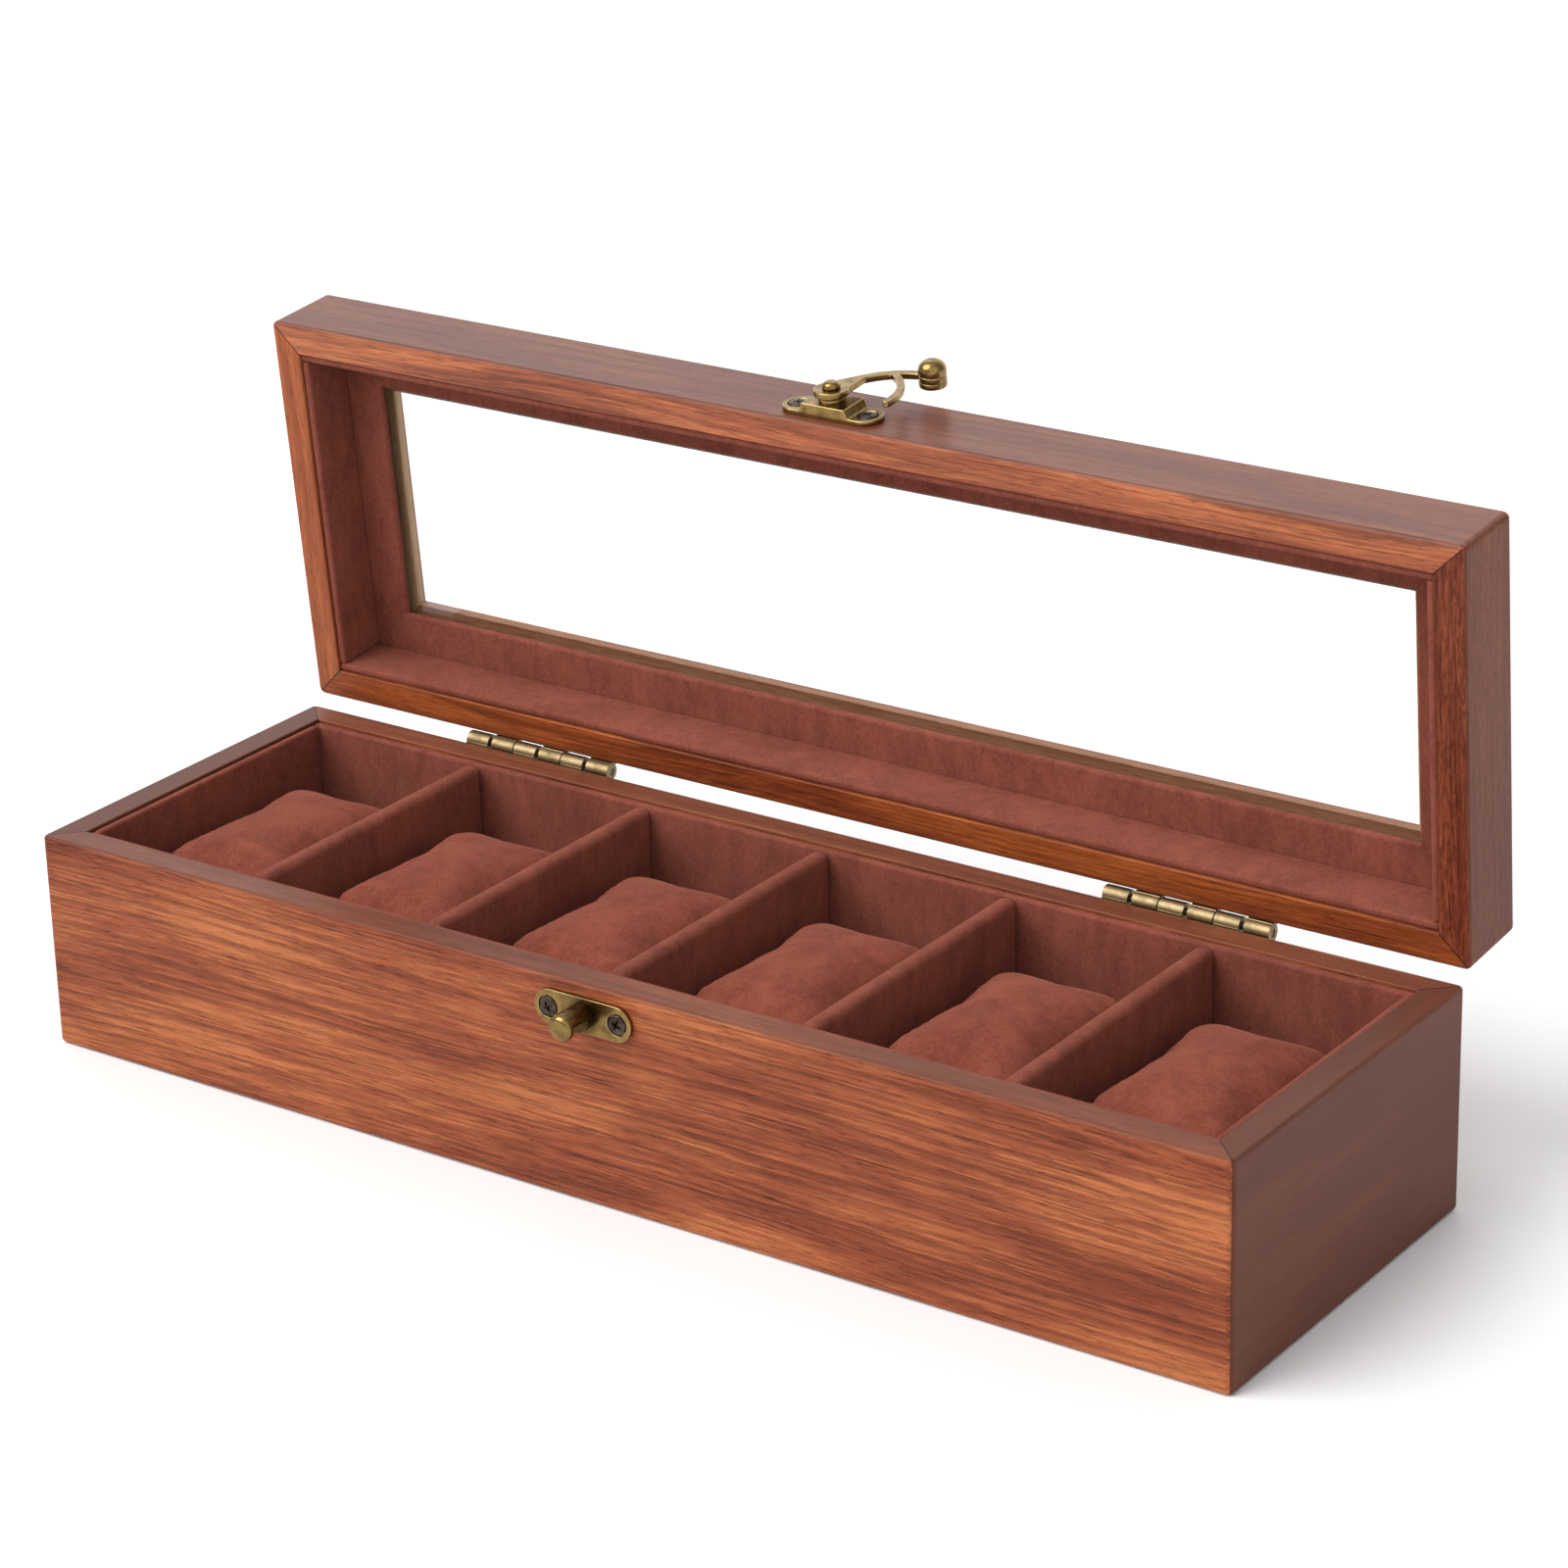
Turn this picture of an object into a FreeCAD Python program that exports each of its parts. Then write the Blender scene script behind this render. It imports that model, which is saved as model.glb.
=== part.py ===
"""Wooden watch box: a lined case with six cushioned slots, a glazed lid and a swing hook.

Frame: origin on the underside at the middle of the case, +X to the right along the case,
+Y to the back, +Z up. The lid is drawn closed and then turned open about the hinge pins.
"""
import FreeCAD, Part
import math
import os
import re
import Sketcher

SIZES = {
    "length": 320.0,
    "depth": 99.0,
    "base_height": 53.0,
    "lid_height": 20.8,
    "rim_gap": 0.2,
    "wall": 7.5,
    "corner_round": 1.6,
    "edge_round": 0.9,
    "top_round": 1.3,
    "floor_rabbet": 4.0,
    "floor_board": 3.0,
    "felt_sheet": 1.0,
    "fit_gap": 0.2,
    "lining": 2.0,
    "floor_lining": 2.0,
    "lining_drop": 0.6,
    "divider": 4.5,
    "divider_round": 1.9,
    "pillow_gap": 1.7,
    "pillow_depth": 58.0,
    "pillow_height": 42.0,
    "pillow_shift": -2.0,
    "pillow_round": 8.0,
    "pillow_ease": 2.5,
    "window_border": 21.2,
    "top_frame": 4.5,
    "glass_rabbet": 4.2,
    "glass": 2.0,
    "flange_border": 19.4,
    "flange": 2.0,
    "open_angle": 85.0,
    "hinge_inset": 69.5,
    "barrel_radius": 2.1,
    "barrel_gap": 0.15,
    "pin_radius": 0.9,
    "pin_clearance": 0.05,
    "knuckle": 6.45,
    "wide_gap": 1.1,
    "narrow_gap": 0.3,
    "leaf": 1.0,
    "leaf_height": 15.0,
    "leaf_notch": 0.5,
    "leaf_screws": 28.0,
    "leaf_head": 0.6,
    "stop_gap": 0.15,
    "stop_reach": 7.0,
    "hardware_shift": -1.0,
    "catch_drop": 7.0,
    "hook_rise": 6.8,
    "plate_length": 26.0,
    "plate_width": 8.4,
    "plate": 1.2,
    "screw_spacing": 18.6,
    "screw_head_radius": 2.3,
    "screw_head": 0.7,
    "screw_shank_radius": 1.1,
    "screw_length": 6.0,
    "screw_clearance": 0.3,
    "post_radius": 3.1,
    "post_length": 8.7,
    "post_round": 1.4,
    "notch_start": 2.4,
    "notch_width": 4.4,
    "notch_rise": 0.5,
    "block_length": 11.5,
    "block_slope": 0.8,
    "block_rise": 2.0,
    "boss_radius": 3.15,
    "boss_groove": 0.45,
    "boss_rise": 1.4,
    "arm": 1.5,
    "arm_gap": 0.1,
    "eye_radius": 4.1,
    "rivet_radius": 1.5,
    "rivet_clearance": 0.05,
    "rivet_head_radius": 2.1,
    "rivet_head": 1.5,
    "arm_reach": 16.3,
    "arm_width": 2.2,
    "flare_angle": 32.0,
    "finger_clearance": 0.6,
    "finger_width": 1.8,
    "finger_start": -4.0,
    "finger_sweep": 65.0,
    "knob_radius": 3.25,
    "knob_neck_radius": 1.6,
    "knob_clearance": 0.1,
    "knob_low": 1.5,
    "knob_high": 3.4,
}

SLOTS = 6
KNUCKLES = 6
NAMES = re.compile("|".join(r"\b%s\b" % name for name in sorted(SIZES, key=len, reverse=True)))
CORNERS = {
    "front": ((-1, -1), (1, -1)),
    "right": ((1, -1), (1, 1)),
    "back": ((1, 1), (-1, 1)),
    "left": ((-1, 1), (-1, -1)),
}

doc = FreeCAD.newDocument("watch_box")
sheet = doc.addObject("Spreadsheet::Sheet", "Sizes")
for row, (size_name, size_value) in enumerate(SIZES.items(), 1):
    sheet.set("A%d" % row, size_name)
    sheet.set("B%d" % row, str(size_value))
    sheet.setAlias("B%d" % row, size_name)
doc.recompute()

nodes = {}


def linked(text):
    """Formula with each size name pointed at its cell."""
    return NAMES.sub(lambda found: "Sizes." + found.group(0), text)


def bind(item, prop, text):
    """Tie a property to a formula of the named sizes."""
    item.setExpression(prop, linked(text))


def amount(text):
    """Present value of a formula of the named sizes."""
    result = sheet.evalExpression(linked(text))
    return float(getattr(result, "Value", result))


def shift(x, y, z):
    """Placement that moves by three formulas."""
    return FreeCAD.Placement(FreeCAD.Vector(amount(x), amount(y), amount(z)), FreeCAD.Rotation())


def turn(axis, degrees):
    """Placement that turns about an axis through the origin."""
    return FreeCAD.Placement(FreeCAD.Vector(), FreeCAD.Rotation(FreeCAD.Vector(*axis), degrees))


HINGE_X = "length / 2 - hinge_inset"
HINGE_Y = "depth / 2 + barrel_gap + barrel_radius"
HINGE_Z = "base_height + rim_gap / 2"
LID_Z = "base_height + rim_gap"
LID_TOP = "base_height + rim_gap + lid_height"
CATCH_Z = "base_height - catch_drop"
HOOK_Z = "base_height + rim_gap + hook_rise"

closed = FreeCAD.Placement()
to_pins = shift("0", HINGE_Y, HINGE_Z)
opened = to_pins * turn((1, 0, 0), -amount("open_angle")) * to_pins.inverse()


def keep(item, label, place=closed):
    """Register a finished piece under its node name."""
    item.Label = label
    item.Placement = place
    nodes[label] = item
    return item


def origin_plane(body, role):
    """One of a body's own origin planes."""
    return next(plane for plane in body.Origin.OriginFeatures if plane.Role == role)


def pin_point(sketch, index, which, x, y):
    """Hold a sketch point at two formulas; None leaves that direction free."""
    for kind, text in (("DistanceX", x), ("DistanceY", y)):
        if text is not None:
            number = sketch.addConstraint(Sketcher.Constraint(kind, -1, 1, index, which, amount(text)))
            bind(sketch, "Constraints[%d]" % number, text)


def new_sketch(body, role, lift="0"):
    """Empty sketch on one of the body's planes, raised by a formula."""
    sketch = body.newObject("Sketcher::SketchObject", body.Name + "_outline")
    sketch.AttachmentSupport = [(origin_plane(body, role), "")]
    sketch.MapMode = "FlatFace"
    bind(sketch, "AttachmentOffset.Base.z", lift)
    return sketch


def polygon(body, corners, role="XY_Plane", lift="0"):
    """Closed outline through corners given as pairs of formulas."""
    sketch = new_sketch(body, role, lift)
    points = [FreeCAD.Vector(amount(x), amount(y), 0) for x, y in corners]
    count = len(points)
    for index in range(count):
        sketch.addGeometry(Part.LineSegment(points[index], points[(index + 1) % count]))
    for index in range(count):
        sketch.addConstraint(Sketcher.Constraint("Coincident", index, 2, (index + 1) % count, 1))
    for index, (x, y) in enumerate(corners):
        pin_point(sketch, index, 1, x, y)
    return sketch


def signed(sign, text):
    """Formula with a sign in front."""
    return "%d * (%s)" % (sign, text)


def corner_at(sign, inset):
    """Corner of the box outline, moved in by a formula."""
    return signed(sign[0], "length / 2 - (%s)" % inset), signed(sign[1], "depth / 2 - (%s)" % inset)


def mitred(body, side, outer, inner, lift):
    """Mitred strip outline on one side of the box, between two insets from the outside."""
    first, last = CORNERS[side]
    corners = [corner_at(first, outer), corner_at(last, outer), corner_at(last, inner), corner_at(first, inner)]
    return polygon(body, corners, lift=lift)


def rounded_mitred(body, side, inner, lift):
    """Mitred strip whose two outer corners are rounded up to the mitre."""
    first, last = CORNERS[side]
    along_x = side in ("front", "back")
    blend = "corner_round * (1 - sqrt(0.5))"

    def tangent(sign):
        insets = ("corner_round", "0") if along_x else ("0", "corner_round")
        return signed(sign[0], "length / 2 - " + insets[0]), signed(sign[1], "depth / 2 - " + insets[1])

    points = [tangent(first), tangent(last), corner_at(last, blend), corner_at(last, inner)]
    points += [corner_at(first, inner), corner_at(first, blend)]
    places = [FreeCAD.Vector(amount(x), amount(y), 0) for x, y in points]
    sketch = new_sketch(body, "XY_Plane", lift)
    for index in range(6):
        start, end = places[index], places[(index + 1) % 6]
        if index in (1, 5):
            sign = last if index == 1 else first
            centre = FreeCAD.Vector(*[amount(text) for text in corner_at(sign, "corner_round")], 0)
            middle = centre + ((start + end) * 0.5 - centre).normalize() * amount("corner_round")
            sketch.addGeometry(Part.Arc(start, middle, end))
        else:
            sketch.addGeometry(Part.LineSegment(start, end))

    def end_of(index, wanted):
        points_of = {1: sketch.getPoint(index, 1), 2: sketch.getPoint(index, 2)}
        return min(points_of, key=lambda which: points_of[which].distanceToPoint(wanted))

    for index in range(6):
        after = (index + 1) % 6
        joint = places[after]
        ends = (index, end_of(index, joint), after, end_of(after, joint))
        sketch.addConstraint(Sketcher.Constraint("Coincident", *ends))
    for index in (1, 5):
        pin_point(sketch, index, 3, *corner_at(last if index == 1 else first, "corner_round"))
    pin_point(sketch, 0, 1, *points[0])
    pin_point(sketch, 0, 2, *points[1])
    pin_point(sketch, 3, 1, *points[3])
    pin_point(sketch, 3, 2, *points[4])
    pin_point(sketch, 2, 1, points[2][0], None)
    pin_point(sketch, 4, 2, points[5][0], None)
    return sketch


def pad(body, sketch, thickness):
    """Raise an outline by a formula, and check that the body grew."""
    before = body.Shape.Volume if body.Tip else 0.0
    feature = body.newObject("PartDesign::Pad", body.Name + "_pad")
    feature.Profile = sketch
    bind(feature, "Length", thickness)
    sketch.Visibility = False
    doc.recompute()
    if body.Shape.Volume <= before:
        raise RuntimeError("nothing added to " + body.Label)
    return feature


def ease_edges(body, wanted, amount_text, kind, prop):
    """Fillet or chamfer each edge of a body that the test accepts."""
    tip = body.Tip
    names = ["Edge%d" % (n + 1) for n, edge in enumerate(tip.Shape.Edges) if wanted(edge)]
    feature = body.newObject("PartDesign::" + kind, "%s_%s" % (body.Name, kind.lower()))
    feature.Base = (tip, names)
    bind(feature, prop, amount_text)
    doc.recompute()
    return feature


def round_edges(body, wanted, radius):
    """Round each edge of a body that the test accepts."""
    return ease_edges(body, wanted, radius, "Fillet", "Radius")


def bevel_edges(body, wanted, size):
    """Bevel each edge of a body that the test accepts."""
    return ease_edges(body, wanted, size, "Chamfer", "Size")


def level(edge, z):
    """True for an edge that lies at one height."""
    box = edge.BoundBox
    return abs(box.ZMin - z) < 1e-4 and abs(box.ZMax - z) < 1e-4


def on_outline(edge):
    """True for an edge on the outer faces of the box."""
    half_x, half_y = amount("length / 2"), amount("depth / 2")
    near = amount("corner_round") * 0.3
    point = edge.valueAt(0.5 * (edge.FirstParameter + edge.LastParameter))
    return half_x - abs(point.x) < near or half_y - abs(point.y) < near


def new_body(label):
    """Empty body."""
    body = doc.addObject("PartDesign::Body", label)
    body.Label = label
    return body


def turned(label, profile):
    """Turned piece from half its section, given as radius and height formulas."""
    body = new_body(label)
    sketch = polygon(body, profile, role="XZ_Plane")
    feature = body.newObject("PartDesign::Revolution", label + "_turn")
    feature.Profile = sketch
    feature.ReferenceAxis = (sketch, ["V_Axis"])
    feature.Angle = 360
    sketch.Visibility = False
    doc.recompute()
    return body


def box(label, size, corner):
    """Plain block from three size formulas and its lowest corner."""
    item = doc.addObject("Part::Box", label)
    for prop, text in zip(("Length", "Width", "Height"), size):
        bind(item, prop, text)
    item.Placement = shift(*corner)
    return item


def disc(label, radius, height, centre, sweep="360", turn_to=0.0):
    """Upright round bar, or a sector of one."""
    item = doc.addObject("Part::Cylinder", label)
    bind(item, "Radius", radius)
    bind(item, "Height", height)
    bind(item, "Angle", sweep)
    item.Placement = shift(*centre) * turn((0, 0, 1), turn_to)
    return item


def bar(label, radius, length, start):
    """Round bar along the length of the box."""
    item = disc(label, radius, length, start)
    item.Placement = shift(*start) * turn((0, 1, 0), 90)
    return item


def fuse(label, items):
    """One piece from several."""
    item = doc.addObject("Part::MultiFuse", label)
    item.Shapes = items
    item.Refine = True
    doc.recompute()
    return item


def cut(label, base, tools):
    """A piece less its holes, with a check that they were cut."""
    tool = tools[0] if len(tools) == 1 else fuse(label + "_holes", tools)
    item = doc.addObject("Part::Cut", label + "_cut")
    item.Base = base
    item.Tool = tool
    doc.recompute()
    if item.Shape.Volume >= base.Shape.Volume:
        raise RuntimeError("no hole cut in " + label)
    return item


def front_place(height, place):
    """Placement of front hardware: drawn flat, its plane set against the front face."""
    return place * shift("hardware_shift", "-depth / 2", height) * turn((1, 0, 0), 90)


def screw_xs(spacing):
    """Positions of a pair of screws."""
    return ["-(%s) / 2" % spacing, "(%s) / 2" % spacing]


def wall_piece(label, side, lower, inner, bottom, step, top):
    """Mitred wall in two heights: a thinner lower part and the full wall above it."""
    body = new_body(label + "_wood")
    if lower:
        pad(body, rounded_mitred(body, side, lower, bottom), "%s - (%s)" % (step, bottom))
    pad(body, rounded_mitred(body, side, inner, step), "%s - (%s)" % (top, step))
    return body


def pilot_holes(label, height, spacing, face_y, shift_x, inward):
    """Screw holes into a wall, from its outer face."""
    holes = []
    for number, x in enumerate(screw_xs(spacing)):
        name = "%s_pilot_%d" % (label, number)
        hole = disc(name, "screw_shank_radius + screw_clearance", "screw_length + screw_clearance", ("0", "0", "0"))
        hole.Placement = shift("%s + %s" % (shift_x, x), face_y, height) * turn((1, 0, 0), -90 * inward)
        holes.append(hole)
    return holes


LEAF_MID = "leaf_height * 0.62"

# case walls, mitred, with a rabbet for the floor board
for side in CORNERS:
    label = "base_%s_wall" % side
    body = wall_piece(label, side, "wall - floor_rabbet", "wall", "0", "felt_sheet + floor_board", "base_height")
    round_edges(body, lambda edge: level(edge, amount("base_height")) and on_outline(edge), "edge_round")
    round_edges(body, lambda edge: level(edge, 0.0) and on_outline(edge), "edge_round")
    finished = body
    if side == "front":
        holes = pilot_holes(label, CATCH_Z, "screw_spacing", "-depth / 2", "hardware_shift", 1)
        finished = cut(label, body, holes)
    if side == "back":
        holes = []
        for sign in (-1, 1):
            centre = signed(sign, HINGE_X)
            height = HINGE_Z + " - " + LEAF_MID
            holes += pilot_holes("%s_%d" % (label, sign + 1), height, "leaf_screws", "depth / 2", centre, -1)
        finished = cut(label, body, holes)
    keep(finished, label)

# floor board and felt in the rabbet
FLOOR_INSET = "wall - floor_rabbet + fit_gap"
FLOOR_SIZE = ("length - 2 * (%s)" % FLOOR_INSET, "depth - 2 * (%s)" % FLOOR_INSET)
FLOOR_CORNER = ("-length / 2 + " + FLOOR_INSET, "-depth / 2 + " + FLOOR_INSET)
keep(box("felt", FLOOR_SIZE + ("felt_sheet",), FLOOR_CORNER + ("0",)), "base_felt", shift(*FLOOR_CORNER, "0"))
board_corner = FLOOR_CORNER + ("felt_sheet",)
keep(box("board", FLOOR_SIZE + ("floor_board",), board_corner), "base_floor", shift(*board_corner))

# case linings
FLOOR_TOP = "felt_sheet + floor_board"
SLOT_FLOOR = FLOOR_TOP + " + floor_lining"
INNER_X = "length - 2 * wall"
INNER_Y = "depth - 2 * wall"


def lining_blocks(prefix, bottom, height, place):
    """Four lining boards against the inside of the walls; the long pair runs full length."""
    left, front = "-length / 2 + wall", "-depth / 2 + wall"
    long_size = (INNER_X, "lining", height)
    short_size = ("lining", INNER_Y + " - 2 * lining", height)
    corners = {
        "front": (long_size, (left, front, bottom)),
        "back": (long_size, (left, "depth / 2 - wall - lining", bottom)),
        "left": (short_size, (left, front + " + lining", bottom)),
        "right": (short_size, ("length / 2 - wall - lining", front + " + lining", bottom)),
    }
    for name, (size, corner) in corners.items():
        label = "%s_lining_%s" % (prefix, name)
        keep(box(label + "_board", size, corner), label, place * shift(*corner))


floor_corner = ("-length / 2 + wall", "-depth / 2 + wall", FLOOR_TOP)
floor_sheet = box("floor_sheet", (INNER_X, INNER_Y, "floor_lining"), floor_corner)
keep(floor_sheet, "base_lining_floor", shift(*floor_corner))
lining_blocks("base", SLOT_FLOOR, "base_height - lining_drop - (%s)" % SLOT_FLOOR, closed)

# dividers with rounded tops, and one cushion in each slot
CLEAR_X = "(%s - 2 * lining)" % INNER_X
CLEAR_Y = "(%s - 2 * lining)" % INNER_Y
SLOT = "((%s - %d * divider) / %d)" % (CLEAR_X, SLOTS - 1, SLOTS)
DIVIDER_TOP = "base_height - lining_drop - (%s)" % SLOT_FLOOR


def centred(width, depth):
    """Rectangle about the origin."""
    x, y = "(%s) / 2" % width, "(%s) / 2" % depth
    return [("-" + x, "-" + y), (x, "-" + y), (x, y), ("-" + x, y)]


for index in range(1, SLOTS):
    label = "divider_%d" % index
    body = new_body(label + "_board")
    pad(body, polygon(body, centred("divider", CLEAR_Y)), DIVIDER_TOP)
    crest = amount(DIVIDER_TOP)
    round_edges(body, lambda edge: level(edge, crest) and edge.Length > amount("divider * 2"), "divider_round")
    middle = "%s / -2 + %d * (%s + divider) - divider / 2" % (CLEAR_X, index, SLOT)
    keep(body, label, shift(middle, "0", SLOT_FLOOR))

for index in range(SLOTS):
    label = "pillow_%d" % (index + 1)
    body = new_body(label + "_stuffing")
    pad(body, polygon(body, centred(SLOT + " - 2 * pillow_gap", "pillow_depth")), "pillow_height")
    round_edges(body, lambda edge: edge.BoundBox.XLength > amount("pillow_round"), "pillow_round")
    bevel_edges(body, lambda edge: edge.BoundBox.XLength < 1e-4, "pillow_ease")
    middle = "%s / -2 + %d * (%s + divider) + %s / 2" % (CLEAR_X, index, SLOT, SLOT)
    keep(body, label, shift(middle, "pillow_shift", SLOT_FLOOR))

# lid rails, full height, rounded along the top
for side in CORNERS:
    label = "lid_%s_rail" % side
    body = wall_piece(label, side, "", "wall", LID_Z, LID_Z, LID_TOP)
    round_edges(body, lambda edge: level(edge, amount(LID_TOP)) and on_outline(edge), "top_round")
    round_edges(body, lambda edge: level(edge, amount(LID_Z)) and on_outline(edge), "edge_round")
    finished = body
    if side == "front":
        holes = pilot_holes(label, HOOK_Z, "screw_spacing", "-depth / 2", "hardware_shift", 1)
        finished = cut(label, body, holes)
    if side == "back":
        holes = []
        for sign in (-1, 1):
            centre = signed(sign, HINGE_X)
            height = HINGE_Z + " + " + LEAF_MID
            holes += pilot_holes("%s_%d" % (label, sign + 1), height, "leaf_screws", "depth / 2", centre, -1)
        finished = cut(label, body, holes)
    keep(finished, label, opened)

# window frame with a rabbet for the pane, pane, and the flange that holds it
FRAME_Z = LID_TOP + " - top_frame"
for side in CORNERS:
    body = new_body("window_%s" % side)
    pad(body, mitred(body, side, "wall", "window_border - glass_rabbet", FRAME_Z), "glass")
    upper = "%s + glass" % FRAME_Z
    pad(body, mitred(body, side, "wall", "window_border", upper), "top_frame - glass")
    keep(body, "lid_frame_%s" % side, opened)
    strip = new_body("flange_%s" % side)
    pad(strip, mitred(strip, side, "wall", "flange_border", FRAME_Z + " - flange"), "flange")
    keep(strip, "lid_flange_%s" % side, opened)

PANE_INSET = "window_border - glass_rabbet + fit_gap"
pane_size = ("length - 2 * (%s)" % PANE_INSET, "depth - 2 * (%s)" % PANE_INSET, "glass")
pane_corner = ("-length / 2 + " + PANE_INSET, "-depth / 2 + " + PANE_INSET, FRAME_Z)
keep(box("pane", pane_size, pane_corner), "lid_glass", opened * shift(*pane_corner))
lining_blocks("lid", LID_Z + " + lining_drop", "lid_height - lining_drop - top_frame - flange", opened)

# hinges: six knuckles in turn on the case leaf and the lid leaf, wide gaps after each case knuckle
BARREL = "(%d * knuckle + 3 * wide_gap + 2 * narrow_gap)" % KNUCKLES


def knuckle_start(number):
    """Start of a knuckle along the barrel, from the barrel's left end."""
    wide, narrow = (number + 1) // 2, number // 2
    return "%d * knuckle + %d * wide_gap + %d * narrow_gap" % (number, wide, narrow)


def hinge_leaf(label, sign, upward, bore):
    """Hinge leaf with its three knuckles; the lid's leaf has stop tabs behind them."""
    left = "%s - %s / 2" % (signed(sign, HINGE_X), BARREL)
    notch = "barrel_radius + leaf_notch"
    height = "leaf_height - (%s)" % notch
    low = HINGE_Z + (" + " + notch if upward else " - leaf_height")
    solids = [box(label + "_plate", (BARREL, "leaf", height), (left, "depth / 2", low))]
    bores = []
    for number in range(1 if upward else 0, KNUCKLES, 2):
        start = "%s + %s" % (left, knuckle_start(number))
        name = "%s_%d" % (label, number)
        solids.append(bar(name + "_barrel", "barrel_radius", "knuckle", (start, HINGE_Y, HINGE_Z)))
        tongue_low = HINGE_Z if upward else HINGE_Z + " - (%s)" % notch
        solids.append(box(name + "_tongue", ("knuckle", "leaf", notch), (start, "depth / 2", tongue_low)))
        bores.append(bar(name + "_bore", bore, "knuckle", (start, HINGE_Y, HINGE_Z)))
        if upward:
            tab = box(name + "_stop", ("knuckle", "leaf", "stop_reach - pin_radius * 1.5"), ("0", "0", "0"))
            tab_place = shift(start, "depth / 2 + leaf + stop_gap", HINGE_Z + " - stop_reach")
            tab.Placement = opened.inverse() * tab_place
            solids.append(tab)
    middle = HINGE_Z + (" + " if upward else " - ") + LEAF_MID
    for number, x in enumerate(screw_xs("leaf_screws")):
        at = shift("%s + %s" % (signed(sign, HINGE_X), x), "depth / 2 + leaf", middle) * turn((1, 0, 0), 90)
        seat = disc("%s_seat_%d" % (label, number), "screw_head_radius + screw_clearance", "leaf_head", ("0", "0", "0"))
        hole = disc("%s_hole_%d" % (label, number), "screw_shank_radius + screw_clearance", "leaf", ("0", "0", "0"))
        seat.Placement = at
        hole.Placement = at
        bores += [seat, hole]
    return cut(label, fuse(label + "_blank", solids), bores)


def screw(label, head, length):
    """Plain flat-headed screw, drawn with the top of its head at the origin."""
    cap = disc(label + "_cap", "screw_head_radius", head, ("0", "0", "-(%s)" % head))
    shank = disc(label + "_shank", "screw_shank_radius", length, ("0", "0", "-(%s) - (%s)" % (head, length)))
    return fuse(label, [cap, shank])


def screw_group(label, places, head, length, place):
    """Identical screws as one piece."""
    screws = []
    for number, at in enumerate(places):
        item = screw("%s_%d" % (label, number), head, length)
        item.Placement = at
        screws.append(item)
    group = doc.addObject("Part::Compound", label + "_set")
    group.Links = screws
    doc.recompute()
    return keep(group, label, place)


def leaf_screw_places(upward):
    """Screw places on both hinges' leaves."""
    middle = HINGE_Z + (" + " if upward else " - ") + LEAF_MID
    places = []
    for sign in (-1, 1):
        for x in screw_xs("leaf_screws"):
            at = shift("%s + %s" % (signed(sign, HINGE_X), x), "depth / 2 + leaf", middle)
            places.append(at * turn((1, 0, 0), -90))
    return places


LEAF_SHANK = "screw_length + leaf - leaf_head"
for sign, name in ((-1, "left"), (1, "right")):
    keep(hinge_leaf("hinge_%s_case" % name, sign, False, "pin_radius"), "hinge_%s_case_leaf" % name)
    lid_leaf = hinge_leaf("hinge_%s_lid" % name, sign, True, "pin_radius + pin_clearance")
    keep(lid_leaf, "hinge_%s_lid_leaf" % name, opened)
    start = ("%s - %s / 2 + fit_gap" % (signed(sign, HINGE_X), BARREL), HINGE_Y, HINGE_Z)
    pin = bar("hinge_%s_rod" % name, "pin_radius", BARREL + " - 2 * fit_gap", start)
    keep(pin, "hinge_%s_pin" % name, pin.Placement)
screw_group("hinge_case_screws", leaf_screw_places(False), "leaf_head", LEAF_SHANK, closed)
screw_group("hinge_lid_screws", leaf_screw_places(True), "leaf_head", LEAF_SHANK, opened)

# plates on the front faces: round-ended, two sunk screws; the hook's plate has a raised block
PLATE_SHANK = "screw_length + plate - screw_head"


def sloped_block(label):
    """Block across a plate, with its two ends sloped down to the plate."""
    foot, crest = "block_length / 2 + block_slope", "block_length / 2"
    outline = [("-(%s)" % foot, "0"), (foot, "0"), (foot, "plate"), (crest, "plate + block_rise")]
    outline += [("-" + crest, "plate + block_rise"), ("-(%s)" % foot, "plate")]
    body = new_body(label)
    pad(body, polygon(body, outline, role="XZ_Plane", lift="-plate_width / 2"), "plate_width")
    return body


def plate_piece(label, raised):
    """Round-ended plate drawn flat, with sunk screw seats."""
    ends = "(plate_length - plate_width) / 2"
    solids = [box(label + "_bar", ("plate_length - plate_width", "plate_width", "plate"),
                  ("-" + ends, "-plate_width / 2", "0"))]
    solids += [disc("%s_end_%d" % (label, sign + 1), "plate_width / 2", "plate", (signed(sign, ends), "0", "0"))
               for sign in (-1, 1)]
    if raised:
        solids.append(sloped_block(label + "_block"))
    holes = []
    for number, x in enumerate(screw_xs("screw_spacing")):
        name = "%s_%d" % (label, number)
        seat_radius = "screw_head_radius + screw_clearance"
        holes.append(disc(name + "_seat", seat_radius, "screw_head", (x, "0", "plate - screw_head")))
        holes.append(disc(name + "_hole", "screw_shank_radius + screw_clearance", "plate", (x, "0", "0")))
    return cut(label, fuse(label + "_blank", solids), holes)


def plate_screw_places():
    """Screw places on a plate drawn flat."""
    return [shift(x, "0", "plate") for x in screw_xs("screw_spacing")]


on_case = front_place(CATCH_Z, closed)
on_lid = front_place(HOOK_Z, opened)
keep(plate_piece("catch", False), "catch_plate", on_case)
keep(plate_piece("hook_base", True), "hook_plate", on_lid)
screw_group("catch_screws", plate_screw_places(), "screw_head", PLATE_SHANK, on_case)
screw_group("hook_screws", plate_screw_places(), "screw_head", PLATE_SHANK, on_lid)

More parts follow.
